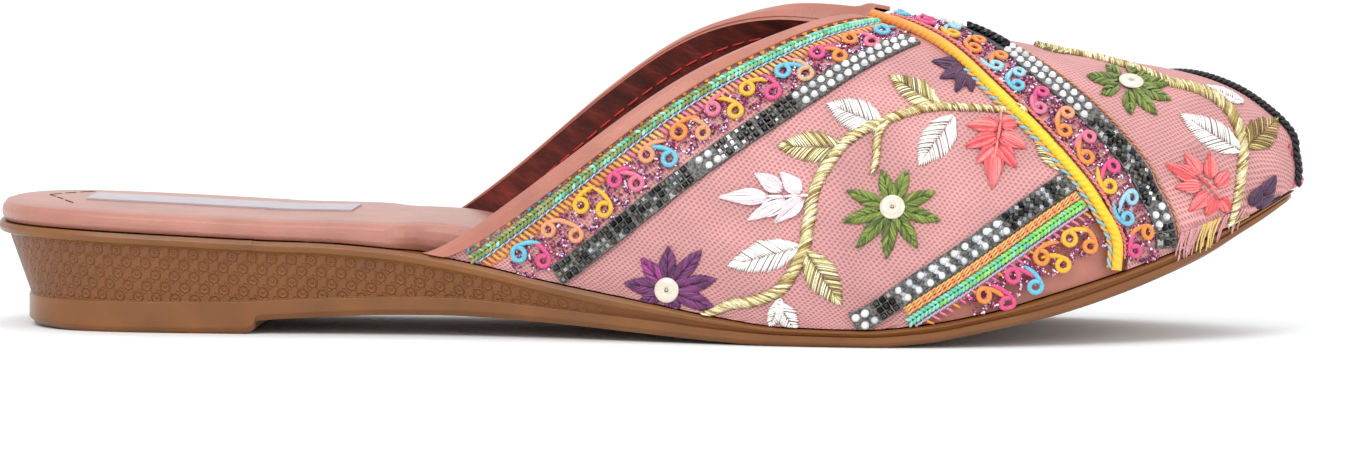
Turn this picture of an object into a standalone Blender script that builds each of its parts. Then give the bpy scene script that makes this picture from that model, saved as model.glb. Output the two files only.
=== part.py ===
"""Embroidered flat mule, right shoe: a wedge sole unit, a wrapped insole, a hollow vamp and two crossing straps.

Sizes below are in millimetres in the shoe's own frame: x runs from the heel's back edge to the toe, y runs from
the outer (lateral) side at minus to the inner (medial) side at plus, and z is height above the floor. The objects
are in metres, with the origin on the floor under the middle of the shoe's bounding box.
"""

import math
from collections import namedtuple

import bmesh
import bpy
import numpy as np
from mathutils import Matrix

MM = 0.001
GAP = 0.3  # clearance between pieces that touch on the real shoe
MERGE = 0.002  # points closer than this are one point

# Sole unit
LIP_HEIGHT = 1.9  # rounded lip round the top of the moulding
LIP_OVERHANG = 0.3  # how far the lip stands out over the wall, and half the wall's slope more
BAND_STEP = 0.4  # how far the smooth lower band stands out from the embossed wall
FLOOR_EDGE = 1.1  # rounding of the edge that meets the floor
SEAT_EDGE = 0.6  # rounding of the edge round the seat

# Insole
INSOLE_CROWN = 0.5
SPINE_FROM, SPINE_TO = 14.0, 242.0  # the insole's rings draw in towards a line between these
RingRow = namedtuple("RingRow", "draw rise")
INSOLE_EDGE = [  # the rolled edge: how far a ring draws in, and its share of the thickness
    RingRow(0.8, 0.0), RingRow(0.2, 0.2), RingRow(0.0, 0.45), RingRow(0.25, 0.72), RingRow(1.0, 0.92),
    RingRow(2.6, 1.0),
]
INSOLE_MARGIN = 0.8  # from the sole's lip, behind the vamp
PadRow = namedtuple("PadRow", "x thickness")
INSOLE = [  # thicker at the arch, which fills the slope down from the heel
    PadRow(0.0, 4.0), PadRow(20.0, 3.9), PadRow(60.0, 3.9), PadRow(80.0, 4.7), PadRow(95.0, 6.0),
    PadRow(110.0, 5.8), PadRow(140.0, 3.6), PadRow(165.0, 3.0), PadRow(257.0, 3.0),
]
LABEL_FROM, LABEL_TO = 18.5, 71.5
LABEL_HALF_WIDTH = 7.5
LABEL_THICKNESS = 0.35
LABEL_CROWN_HALF = 25.0  # half the insole's flat width under the label
TOE_STATIONS = [240.0, 244.5, 248.5, 251.5, 254.0, 256.0, 257.6, 259.0, 260.2, 261.0, 261.5]

# Vamp, straps and trims
WALL = 1.4  # leather and lining of the vamp
UNDER_THICKNESS = 0.8  # net and backing of the strap that passes beneath
OVER_THICKNESS = 1.1  # net, backing and turned edge of the strap on top
BINDING_LEG = 4.4  # turned leather edge along the collar, measured along the foot
BINDING_THICKNESS = 0.7
EDGE_SETBACK = 1.5  # from the collar line to the edges that the binding covers
THROAT_EASE = 0.5  # more room under the inner binding where the straps cross
TOE_EASE = 0.15  # more room under the cord, where the toe is tightly curved
STONE_EASE = 0.1  # more room under the upper strap's tape, which runs over the climb
CLIMB_FROM, CLIMB_TO = -10.0, -4.0  # where the upper strap climbs, measured from the lower strap's edge
TAPE_WIDTH = 4.3
TAPE_THICKNESS = 0.9
BRAID_WIDTH = 2.0
BRAID_THICKNESS = 1.1
PIPING_RADIUS = 1.05
TOE_CORD_RADIUS = 0.8
TOE_CORD_INSET = 1.6  # from the upper strap's front edge to the cord on it
PIPING_SETBACK = 0.8  # how much further the strap's edge stands off where the piping runs
BINDING_START = -1 / 14  # where the outer binding ends at the throat
PANEL_GIRTHS = np.array([  # the columns that the vamp, its straps and its bindings share
    *np.linspace(-1.0, 0.0, 15), 0.04, 0.08, 0.12, 0.17, *np.linspace(0.23, 1.0, 10),
])
TRIM_CLEARANCE = 4.2  # left between a trim's end and the piping that crosses it
BRAID_OFFSET = 5.2  # from the collar line to the middle of the green braid
TILE_OFFSET = 18.0  # from the collar line to the middle of the tile tape
TILE_CLOSING = 3.0  # how much nearer to the collar it lies on the ridge
STONE_OFFSET = 10.2  # from the piping to the middle of the rhinestone tape
STONE_OFFSET_INNER = 15.5  # the same tape from the inner collar line
FRONT_BRAID_OFFSET = 5.1  # from the front rhinestone tape to the braid below it

# A row for each cross-section of the sole. lateral and medial are the outline's distances from the long axis, seat
# is the height of the top edge, under the underside, band the top of the smooth lower band, and slope how far the
# wall draws in from lip to band.
SoleRow = namedtuple("SoleRow", "x lateral medial seat under band slope")
SOLE = [
    SoleRow(0.0, 0.0, 0.0, 20.8, 0.6, 6.3, 4.2),
    SoleRow(0.9, 8.2, 8.2, 20.8, 0.6, 6.3, 4.2),
    SoleRow(3.6, 15.4, 15.3, 20.7, 0.55, 6.3, 4.1),
    SoleRow(8.4, 21.3, 21.0, 20.6, 0.4, 6.2, 3.9),
    SoleRow(15.5, 25.6, 25.0, 20.4, 0.15, 6.2, 3.6),
    SoleRow(25.0, 28.0, 27.4, 20.0, 0.0, 6.1, 3.3),
    SoleRow(37.0, 28.9, 28.2, 19.5, 0.0, 6.1, 3.1),
    SoleRow(50.5, 28.9, 28.0, 18.9, 0.0, 6.3, 2.9),
    SoleRow(53.2, 28.9, 27.9, 18.8, 0.35, 6.4, 2.8),
    SoleRow(54.3, 28.9, 27.9, 18.8, 1.2, 6.4, 2.8),
    SoleRow(54.8, 28.9, 27.8, 18.7, 2.5, 6.5, 2.8),
    SoleRow(66.0, 28.7, 27.0, 18.4, 3.4, 7.1, 2.6),
    SoleRow(80.0, 28.7, 25.9, 17.4, 4.1, 7.6, 2.3),
    SoleRow(91.0, 29.0, 25.2, 15.9, 4.2, 7.7, 2.1),
    SoleRow(101.0, 29.8, 25.0, 14.0, 3.9, 7.2, 1.9),
    SoleRow(111.0, 31.0, 25.5, 11.8, 3.3, 6.3, 1.6),
    SoleRow(122.0, 32.9, 26.9, 9.7, 2.5, 5.3, 1.3),
    SoleRow(134.0, 35.3, 29.2, 7.6, 1.5, 4.2, 1.0),
    SoleRow(146.0, 37.7, 32.3, 5.4, 0.6, 3.0, 0.8),
    SoleRow(160.0, 40.0, 35.8, 3.6, 0.0, 2.2, 0.6),
    SoleRow(176.0, 41.0, 38.3, 3.3, 0.0, 2.0, 0.5),
    SoleRow(188.0, 40.3, 38.5, 4.4, 0.9, 2.9, 0.5),
    SoleRow(200.0, 37.9, 37.3, 6.6, 3.1, 5.1, 0.5),
    SoleRow(212.0, 33.9, 34.8, 10.0, 5.7, 7.7, 0.5),
    SoleRow(224.0, 28.4, 31.0, 13.7, 9.3, 11.5, 0.5),
    SoleRow(234.0, 22.5, 26.7, 17.3, 13.1, 15.2, 0.5),
    SoleRow(242.0, 16.4, 21.9, 20.6, 16.7, 18.6, 0.5),
    SoleRow(248.5, 10.4, 17.2, 23.7, 20.6, 22.3, 0.5),
    SoleRow(252.6, 5.8, 13.5, 26.0, 23.0, 24.7, 0.5),
    SoleRow(255.2, 2.0, 9.9, 27.5, 24.8, 26.3, 0.5),
    SoleRow(256.6, -1.2, 6.8, 28.3, 25.8, 27.1, 0.5),
    SoleRow(257.0, -4.0, 4.0, 28.5, 26.1, 27.4, 0.5),
]

# A row for each cross-section of the last's surface, from feather edge to ridge. at is the section's place along
# the last, which is x until the toe turns down. ridge_y and ridge are the crest, lean above 1 hollows the flanks
# between feather edge and crest, and lead is how far the crest stands ahead of the feather edge.
VampRow = namedtuple("VampRow", "at x lateral medial ridge_y ridge lean lead")
VAMP = [
    VampRow(78.0, 78.0, 26.5, 23.8, 2.5, 94.0, 1.32, 0.0),
    VampRow(95.0, 95.0, 27.0, 22.9, 3.0, 86.5, 1.32, 0.0),
    VampRow(110.0, 110.0, 28.6, 23.2, 3.5, 80.0, 1.30, 0.0),
    VampRow(125.0, 125.0, 31.2, 25.2, 4.0, 74.0, 1.28, 0.0),
    VampRow(140.0, 140.0, 34.3, 28.4, 4.0, 68.8, 1.26, 0.0),
    VampRow(155.0, 155.0, 37.0, 32.3, 4.0, 64.4, 1.25, 0.0),
    VampRow(172.0, 172.0, 38.8, 35.7, 4.0, 60.6, 1.24, 0.0),
    VampRow(186.0, 186.0, 38.4, 36.5, 4.0, 58.0, 1.22, 0.0),
    VampRow(200.0, 200.0, 35.7, 35.1, 4.0, 54.8, 1.18, 0.0),
    VampRow(214.0, 214.0, 31.0, 31.9, 4.0, 52.3, 1.13, 0.0),
    VampRow(226.0, 226.0, 25.2, 28.0, 4.0, 50.4, 1.08, 0.0),
    VampRow(236.0, 236.0, 18.9, 23.3, 4.0, 48.5, 1.02, 0.2),
    VampRow(243.0, 243.0, 13.4, 19.0, 4.0, 45.7, 0.97, 0.8),
    VampRow(248.5, 248.4, 8.3, 15.0, 4.0, 42.1, 0.93, 1.3),
    VampRow(252.5, 252.2, 4.0, 11.6, 4.0, 38.4, 0.92, 1.7),
    VampRow(256.0, 254.4, 0.4, 8.3, 4.0, 34.7, 0.94, 1.7),
    VampRow(258.6, 255.4, -1.9, 6.1, 4.0, 31.6, 0.97, 1.2),
    VampRow(260.2, 255.8, -3.2, 4.8, 4.0, 30.1, 1.0, 0.8),
    VampRow(261.5, 255.9, -4.0, 4.0, 4.0, 28.7, 1.0, 0.0),
]
TOE_POLE = VAMP[-1].at

# Lines over the vamp. girth is the place round it, -1 at the lateral feather edge, 0 on the ridge and 1 at the
# medial feather edge, and at is the place along the last.
LineRow = namedtuple("LineRow", "girth at")
COLLAR = [
    LineRow(-1.0, 88.0), LineRow(-0.84, 102.8), LineRow(-0.64, 121.7), LineRow(-0.455, 138.3),
    LineRow(-0.28, 153.3), LineRow(-0.11, 165.4), LineRow(0.0, 172.0), LineRow(0.18, 153.6),
    LineRow(0.34, 139.0), LineRow(0.54, 122.2), LineRow(0.77, 102.5), LineRow(1.0, 81.5),
]
PAST_THROAT = LineRow(0.35, 194.0)  # where the outer collar's line would run on under the upper strap
CROSSING = [
    LineRow(-1.0, 223.2), LineRow(-0.9, 223.6), LineRow(-0.73, 219.8), LineRow(-0.52, 210.6),
    LineRow(-0.31, 197.8), LineRow(-0.15, 187.0), LineRow(0.0, 172.0),
]
OVER_FRONT = [
    LineRow(-1.0, 260.6), LineRow(-0.7, 260.0), LineRow(-0.4, 258.6), LineRow(-0.2, 256.4),
    LineRow(-0.08, 253.0), LineRow(0.0, 248.5), LineRow(0.08, 242.0), LineRow(0.17, 234.5), LineRow(0.35, 223.0),
    LineRow(0.61, 209.5), LineRow(0.8, 197.5), LineRow(1.0, 183.0),
]
UNDER_FRONT = [
    LineRow(-1.0, 184.0), LineRow(-0.9, 199.5), LineRow(-0.78, 214.0), LineRow(-0.68, 224.0),
    LineRow(-0.55, 233.0), LineRow(-0.35, 242.0), LineRow(-0.15, 248.5), LineRow(0.0, 251.5),
    LineRow(0.2, 254.5), LineRow(0.4, 257.0), LineRow(0.7, 258.6), LineRow(1.0, 259.2),
]
FRONT_STONES = [
    LineRow(-1.0, 172.0), LineRow(-0.893, 183.4), LineRow(-0.775, 198.6), LineRow(-0.652, 213.4),
    LineRow(-0.5, 230.0),
]


def smooth_table(keys, values):
    """A monotone cubic through the table: no bump between rows that the rows don't hold."""
    keys, values = np.asarray(keys, float), np.asarray(values, float)
    step = np.diff(keys)
    slope = np.diff(values) / step
    tangent = np.zeros_like(values)
    for i in range(1, len(keys) - 1):
        if slope[i - 1] * slope[i] > 0:
            a = 2 * step[i] + step[i - 1]
            b = step[i] + 2 * step[i - 1]
            tangent[i] = (a + b) / (a / slope[i - 1] + b / slope[i])
    tangent[0], tangent[-1] = slope[0], slope[-1]

    def read(at):
        at = np.clip(at, keys[0], keys[-1])
        i = np.clip(np.searchsorted(keys, at, side="right") - 1, 0, len(keys) - 2)
        h = step[i]
        s = (at - keys[i]) / h
        return (
            values[i] * (1 + 2 * s) * (1 - s) ** 2
            + values[i + 1] * s * s * (3 - 2 * s)
            + h * s * (1 - s) * (tangent[i] * (1 - s) - tangent[i + 1] * s)
        )

    return read


def column(rows, key, value):
    return smooth_table([getattr(row, key) for row in rows], [getattr(row, value) for row in rows])


def line(rows):
    return column(rows, "girth", "at")


def blend(low, high, value):
    """0 below low, 1 above high, and smooth between."""
    s = np.clip((np.asarray(value, float) - low) / (high - low), 0.0, 1.0)
    return s * s * (3 - 2 * s)


SOLE_AT = {name: smooth_table(range(len(SOLE)), [getattr(row, name) for row in SOLE]) for name in SoleRow._fields}
SEAT = column(SOLE, "x", "seat")
VAMP_AT = {name: column(VAMP, "at", name) for name in VampRow._fields}
INSOLE_THICKNESS = column(INSOLE, "x", "thickness")
COLLAR_AT = line(COLLAR)
CROSSING_AT = line(CROSSING)
OVER_FRONT_AT = line(OVER_FRONT)
UNDER_FRONT_AT = line(UNDER_FRONT)


def under_rear(girth):
    """Rear edge of the lower strap: the collar outside, and the mirror image of the crossing inside."""
    return np.where(girth < 0, COLLAR_AT(girth), CROSSING_AT(-np.abs(girth)))


def over_rear(girth):
    """Rear edge of the upper strap: the crossing outside, and the collar inside."""
    return np.where(girth < 0, CROSSING_AT(-np.abs(girth)), COLLAR_AT(girth))


def bare_vamp(at, girth):
    """A point of the last's surface, which is the outer face of the vamp's leather."""
    row = {name: read(at) for name, read in VAMP_AT.items()}
    angle = np.abs(girth) * math.pi / 2
    half = np.where(girth > 0, row["medial"] - row["ridge_y"], row["lateral"] + row["ridge_y"])
    rise = np.maximum(np.cos(angle), 0.0) ** row["lean"] * (at < TOE_POLE)  # every section meets in the toe's point
    foot = SEAT(row["x"]) + GAP
    return np.stack([
        row["x"] + row["lead"] * rise,
        row["ridge_y"] + np.sign(girth) * half * np.sin(angle),
        foot + (row["ridge"] - foot) * rise,
    ], axis=-1)


def vamp_slopes(at, girth):
    """How the surface point moves per unit of at and per unit of girth."""
    at = np.clip(at, VAMP[0].at + 0.1, TOE_POLE - 0.35)
    girth = np.clip(girth, -0.985, 0.985)
    along = (bare_vamp(at + 0.1, girth) - bare_vamp(at - 0.1, girth)) / 0.2
    around = (bare_vamp(at, girth + 0.01) - bare_vamp(at, girth - 0.01)) / 0.02
    return along, around


def vamp(at, girth, lift=0.0):
    """A point at a height over the vamp's outer face, along its normal."""
    at, girth, lift = np.broadcast_arrays(np.asarray(at, float), np.asarray(girth, float), np.asarray(lift, float))
    along, around = vamp_slopes(at, girth)
    normal = np.cross(along, around)
    normal[..., 2] *= np.abs(girth) < 0.985  # the wall stands upright where it meets the sole
    normal /= np.linalg.norm(normal, axis=-1, keepdims=True)
    tip = blend(TOE_POLE - 2.0, TOE_POLE, at)[..., None]
    normal = normal * (1 - tip) + np.array([1.0, 0.0, 0.0]) * tip
    point = bare_vamp(at, girth) + normal * lift[..., None]
    point[..., 2] = np.maximum(point[..., 2], SEAT(point[..., 0]) + GAP)
    return point


def line_points(read, low, high, count=160):
    """(at, girth) pairs along a line over the vamp."""
    girth = np.linspace(low, high, count)
    return np.stack([read(girth), girth], axis=-1)


def beside(pairs, distance):
    """A line moved over the surface by a distance, towards the toe when it is positive."""
    pairs = np.array(pairs, float)
    steps = 6
    for _ in range(steps):
        ahead = np.gradient(pairs, axis=0)
        along, around = vamp_slopes(pairs[:, 0], pairs[:, 1])
        tangent = along * ahead[:, :1] + around * ahead[:, 1:]
        side = np.cross(np.cross(along, around), tangent)
        side *= (distance / steps / np.linalg.norm(side, axis=-1) * np.sign(side[:, 0]))[:, None]
        for i in range(len(pairs)):
            pairs[i] += np.linalg.lstsq(np.stack([along[i], around[i]], axis=-1), side[i], rcond=None)[0]
    return pairs


def resample(pairs, count):
    """The stretch of a line that lies on the vamp, as evenly spaced points."""
    inside = np.flatnonzero(np.abs(pairs[:, 1]) < 0.985)
    pairs = pairs[inside[0]:inside[-1] + 1]
    points = bare_vamp(pairs[:, 0], pairs[:, 1])
    length = np.concatenate([[0.0], np.cumsum(np.linalg.norm(np.diff(points, axis=0), axis=-1))])
    place = np.linspace(0.0, length[-1], count)
    return np.stack([np.interp(place, length, pairs[:, 0]), np.interp(place, length, pairs[:, 1])], axis=-1)


def before_crossing(pairs):
    """The stretch of a line on the lower strap that ends just short of the piping."""
    shows = (pairs[:, 1] < 0) & (pairs[:, 0] < CROSSING_AT(pairs[:, 1]) - TRIM_CLEARANCE)
    return pairs[shows]


def material(name, hex_colour, roughness):
    """A plain material; hex_colour is sRGB."""
    channels = [int(hex_colour[i:i + 2], 16) / 255 for i in (0, 2, 4)]
    linear = [c / 12.92 if c <= 0.04045 else ((c + 0.055) / 1.055) ** 2.4 for c in channels]
    made = bpy.data.materials.new(name)
    made.use_nodes = True
    shader = made.node_tree.nodes["Principled BSDF"]
    shader.inputs["Base Color"].default_value = (*linear, 1.0)
    shader.inputs["Roughness"].default_value = roughness
    made.diffuse_color = (*linear, 1.0)
    return made


def add_solid(name, finish, grids, caps=()):
    """An object from grids of points that join at their shared borders, and caps, each a ring of points."""
    mesh = bmesh.new()
    for grid in grids:
        rows = [[mesh.verts.new(point) for point in row] for row in np.asarray(grid) * MM]
        for row, following in zip(rows, rows[1:]):
            for a, b, c, d in zip(row, row[1:], following[1:], following):
                mesh.faces.new((a, b, c, d))
    for ring in caps:
        mesh.faces.new([mesh.verts.new(point) for point in np.asarray(ring) * MM])
    bmesh.ops.remove_doubles(mesh, verts=mesh.verts, dist=MERGE * MM)
    bmesh.ops.dissolve_degenerate(mesh, edges=mesh.edges, dist=MERGE * MM)
    bmesh.ops.triangulate(mesh, faces=mesh.faces)
    bmesh.ops.recalc_face_normals(mesh, faces=mesh.faces)
    data = bpy.data.meshes.new(name)
    mesh.to_mesh(data)
    mesh.free()
    data.materials.append(finish)
    data.shade_smooth()
    data.set_sharp_from_angle(angle=math.radians(40))
    made = bpy.data.objects.new(name, data)
    bpy.context.collection.objects.link(made)
    return made


def wall_between(outer, inner):
    """The grids of a wall between an outer and an inner surface with the same rows and columns. A border that runs
    together in one point, as at the toe, needs no face."""
    borders = [(outer[0], inner[0]), (outer[-1], inner[-1]), (outer[:, 0], inner[:, 0]), (outer[:, -1], inner[:, -1])]
    return [outer, inner, *(border for border in borders if np.ptp(border[0], axis=0).max() > MERGE)]


def swept(name, finish, rails):
    """A solid whose cross-section's corners run along the rails."""
    rails = np.asarray(rails)
    return add_solid(name, finish, [np.concatenate([rails, rails[:1]])], [rails[:, 0], rails[:, -1]])


def sole_point(u, side, inset, height):
    """A point of the sole's outline at a place between its rows, drawn in by inset. side is -1 for lateral."""
    width = SOLE_AT["lateral" if side < 0 else "medial"]
    before, after = np.maximum(u - 0.02, 0.0), np.minimum(u + 0.02, len(SOLE) - 1.0)
    ahead = np.stack([SOLE_AT["x"](after) - SOLE_AT["x"](before), side * (width(after) - width(before))], axis=-1)
    flat = np.stack([SOLE_AT["x"](u), side * width(u)], axis=-1)
    ends = np.where(u < 1.0, -1.0, 1.0) * (np.isclose(u, 0.0) | np.isclose(u, len(SOLE) - 1.0))
    flat = drawn_in(flat, ahead, side, inset, ends)
    return np.concatenate([flat, np.broadcast_to(height, len(flat))[:, None]], axis=-1)


def drawn_in(flat, ahead, side, inset, ends):
    """Points of an outline moved inwards. ends is -1 at the heel's point, 1 at the toe's, and 0 elsewhere."""
    outward = np.stack([-side * ahead[:, 1], side * ahead[:, 0]], axis=-1)
    outward = np.where(ends[:, None] != 0, np.stack([ends, 0.0 * ends], axis=-1), outward)
    outward /= np.linalg.norm(outward, axis=-1, keepdims=True)
    return flat - outward * np.broadcast_to(inset, len(flat))[:, None]


def sole_levels(u):
    """Inset and height of each edge that runs round the sole, from the floor up."""
    row = {name: read(u) for name, read in SOLE_AT.items()}
    lip = np.minimum(LIP_HEIGHT, 0.45 * (row["seat"] - row["band"]))
    edge = np.minimum(FLOOR_EDGE, 0.4 * (row["band"] - row["under"]))
    overhang = LIP_OVERHANG + row["slope"] / 2
    foot = row["slope"] + overhang
    return [
        (foot + FLOOR_EDGE - BAND_STEP, row["under"]),
        (foot - BAND_STEP, row["under"] + edge),
        (foot - BAND_STEP, row["band"]),
        (foot, row["band"] + 0.12 * lip),
        (overhang, row["seat"] - 1.3 * lip),
        (0.25 * overhang, row["seat"] - lip),
        (0.0, row["seat"] - 0.45 * lip),
        (SEAT_EDGE, row["seat"]),
    ]


def sole_unit(finish):
    """The moulding: its side is a stack of outlines, closed by the underside and the seat."""
    last = len(SOLE) - 1
    u = np.array(sorted({*range(last + 1), *np.arange(0.5, 6.0), *np.arange(18.5, last)}), float)
    lateral, medial = ([sole_point(u, side, inset, height) for inset, height in sole_levels(u)] for side in (-1, 1))
    for lip_ring in (*lateral[-3:], *medial[-3:]):
        lip_ring[:, 2] += SEAT(lip_ring[:, 0]) - SOLE_AT["seat"](u)  # drawn in, it is further down the seat's slope
    return add_solid("sole_unit", finish, [lateral, medial, [lateral[0], medial[0]], [lateral[-1], medial[-1]]])


def within_vamp(at, side, inset):
    """The vamp's feather edge seen from above, drawn in by inset."""
    at = np.maximum(at, VAMP[0].at)
    width = VAMP_AT["lateral" if side < 0 else "medial"]
    before, after = at - 0.3, np.minimum(at + 0.3, TOE_POLE)
    x = VAMP_AT["x"]
    ahead = np.stack([x(after) - x(before), side * (width(after) - width(before))], axis=-1)
    flat = np.stack([x(at), side * width(at)], axis=-1)
    return drawn_in(flat, ahead, side, inset, 1.0 * np.isclose(at, TOE_POLE))


def insole_outline(side):
    """The insole's edge seen from above: the sole's outline drawn in, and in front the inside of the vamp's."""
    heel_rows = np.concatenate([np.arange(0.0, 6.0, 0.5), [6.0, 7.0, 9.6, 10.7]])
    rear = sole_point(heel_rows, side, INSOLE_MARGIN, 0.0)[:, :2]
    collar = float(COLLAR_AT(side))
    step = collar + np.array([-7.0, -5.0, -3.5, -2.0, -0.5, 4.0])
    at = np.concatenate([[71.0], step, np.arange(100.0, 238.0, 9.0), TOE_STATIONS])
    width = column(SOLE, "x", "lateral" if side < 0 else "medial")
    behind = np.stack([at, side * (width(at) - INSOLE_MARGIN)], axis=-1)
    share = blend(step[0], step[-2], at)[:, None]
    beside_binding = (BINDING_THICKNESS + GAP) * (1 - blend(96.0, 108.0, at))
    within = within_vamp(at, side, WALL + 2 * GAP + beside_binding)
    return np.concatenate([rear, behind * (1 - share) + within * share])


def insole(finish):
    """A pad with a rolled edge. Its rings draw in towards a spine, so that they close at heel and toe."""
    lateral, medial = insole_outline(-1), insole_outline(1)
    spine = (lateral + medial) / 2
    spine[:, 0] = np.clip(spine[:, 0], SPINE_FROM, SPINE_TO)

    def ring(edge, draw, rise):
        towards = spine - edge
        flat = edge + towards / np.linalg.norm(towards, axis=-1, keepdims=True) * draw
        height = SEAT(flat[:, 0]) + GAP + INSOLE_THICKNESS(lateral[:, 0]) * rise
        return np.concatenate([flat, height[:, None]], axis=-1)

    sides = [[ring(edge, row.draw, row.rise) for row in INSOLE_EDGE] for edge in (lateral, medial)]
    outer, inner = sides[0][-1], sides[1][-1]
    half = (inner[:, 1] - outer[:, 1]) / 2
    top = []
    for across in np.linspace(0.0, 1.0, 7):
        strip = outer * (1 - across) + inner * across
        strip[:, 2] += INSOLE_CROWN * np.clip(half / 20.0, 0.0, 1.0) * (1 - (2 * across - 1) ** 2)
        top.append(strip)
    return add_solid("insole", finish, [*sides, top, [sides[0][0], sides[1][0]]])


def insole_label(finish):
    """The blank label strip, lying on the insole's crown."""
    x, y = np.meshgrid(np.linspace(LABEL_FROM, LABEL_TO, 9), np.linspace(-LABEL_HALF_WIDTH, LABEL_HALF_WIDTH, 4),
                       indexing="ij")
    across = y / LABEL_CROWN_HALF
    under = SEAT(x) + GAP + INSOLE_THICKNESS(x) + INSOLE_CROWN * (1 - across ** 2) + GAP
    faces = [np.stack([x, y, under + lift], axis=-1) for lift in (LABEL_THICKNESS, 0.0)]
    return add_solid("insole_label", finish, wall_between(*faces))


def panel(name, finish, rear, front, low, high, rows, crowd):
    """A panel over the vamp between two edges. low and high give the heights of its faces at (at, girth), and
    crowd above 1 brings the rows closer together towards the front."""
    share = 1 - (1 - np.linspace(0.0, 1.0, rows)[:, None]) ** crowd
    girth = PANEL_GIRTHS[None, :] + np.zeros((rows, 1))
    at = rear(girth) * (1 - share) + front(girth) * share
    return add_solid(name, finish, wall_between(vamp(at, girth, high(at, girth)), vamp(at, girth, low(at, girth))))


def over_low(at, girth):
    """Lower face of the upper strap, which climbs on to the lower strap where that lies beneath."""
    behind = blend(CLIMB_FROM, CLIMB_TO, at - under_rear(girth))
    ahead = blend(CLIMB_FROM, CLIMB_TO, UNDER_FRONT_AT(girth) - at)
    return GAP + (UNDER_THICKNESS + GAP) * behind * ahead


def over_high(at, girth):
    return over_low(at, girth) + OVER_THICKNESS


def level(height):
    return lambda at, girth: height + 0.0 * girth


def upper(finish):
    """The vamp: one wall from the collar to the toe, open at the collar and underneath."""
    return panel("upper", finish, lambda girth: COLLAR_AT(girth) + EDGE_SETBACK, lambda girth: TOE_POLE + 0 * girth,
                 level(-WALL), level(0.0), 22, 1.55)


def strap_under(finish):
    """The lower strap, from the outer side's rear over the instep to the inner toe."""
    return panel("strap_under", finish, lambda girth: under_rear(girth) + EDGE_SETBACK, UNDER_FRONT_AT,
                 level(GAP), level(GAP + UNDER_THICKNESS), 16, 1.3)


def strap_over(finish):
    """The upper strap, from the inner side's rear over the instep to the outer toe."""
    return panel("strap_over", finish, lambda girth: over_rear(girth) + EDGE_SETBACK + PIPING_SETBACK * (girth < 0),
                 OVER_FRONT_AT, over_low, over_high, 18, 1.3)


def collar_binding(name, finish, low_girth, high_girth, top):
    """A turned edge in a U round the collar. top gives the height of the face that its outer leg lies on."""
    girth = PANEL_GIRTHS[(PANEL_GIRTHS > low_girth) & (PANEL_GIRTHS < high_girth)]
    girth = np.concatenate([[low_girth], girth, [high_girth]])
    inner = level(-WALL - GAP - BINDING_THICKNESS)
    fold = EDGE_SETBACK - 1.6 * GAP
    section = [
        (0.0, top, GAP), (0.5, top, GAP + BINDING_THICKNESS), (BINDING_LEG, top, GAP + BINDING_THICKNESS),
        (BINDING_LEG, top, GAP), (fold, top, GAP), (fold, inner, BINDING_THICKNESS),
        (BINDING_LEG, inner, BINDING_THICKNESS), (BINDING_LEG, inner, 0.0), (0.5, inner, 0.0),
        (0.0, inner, BINDING_THICKNESS),
    ]
    rails = []
    for ahead, face, lift in section:
        at = COLLAR_AT(girth) + ahead
        rails.append(vamp(at, girth, face(at, girth) + lift))
    return swept(name, finish, rails)


def tape(name, finish, middle, width, thickness, under, crown=0.0, count=20):
    """A tape of a width along a line. under gives the height of its lower face, and crown rounds its top."""
    edges = [resample(beside(middle, shift), count) for shift in (-width / 2, width / 2)]
    centre = (edges[0] + edges[1]) / 2
    rails = [(edges[0], 0.0), (edges[0], thickness - crown)]
    if crown:
        rails.append((centre, thickness))
    rails += [(edges[1], thickness - crown), (edges[1], 0.0)]
    return swept(name, finish, [vamp(*pairs.T, under(*pairs.T) + lift) for pairs, lift in rails])


def cord(name, finish, middle, radius, under, count=30, sides=6):
    """A round cord along a line. under gives the height of what it lies on."""
    pairs = resample(middle, count)
    centre = vamp(*pairs.T, under(*pairs.T) + radius)
    up = centre - vamp(*pairs.T, under(*pairs.T))
    up /= np.linalg.norm(up, axis=-1, keepdims=True)
    across = np.cross(np.gradient(centre, axis=0), up)
    across /= np.linalg.norm(across, axis=-1, keepdims=True)
    angles = np.linspace(0.0, 2 * math.pi, sides, endpoint=False)
    return swept(name, finish, [centre + radius * (math.cos(a) * up + math.sin(a) * across) for a in angles])


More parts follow.
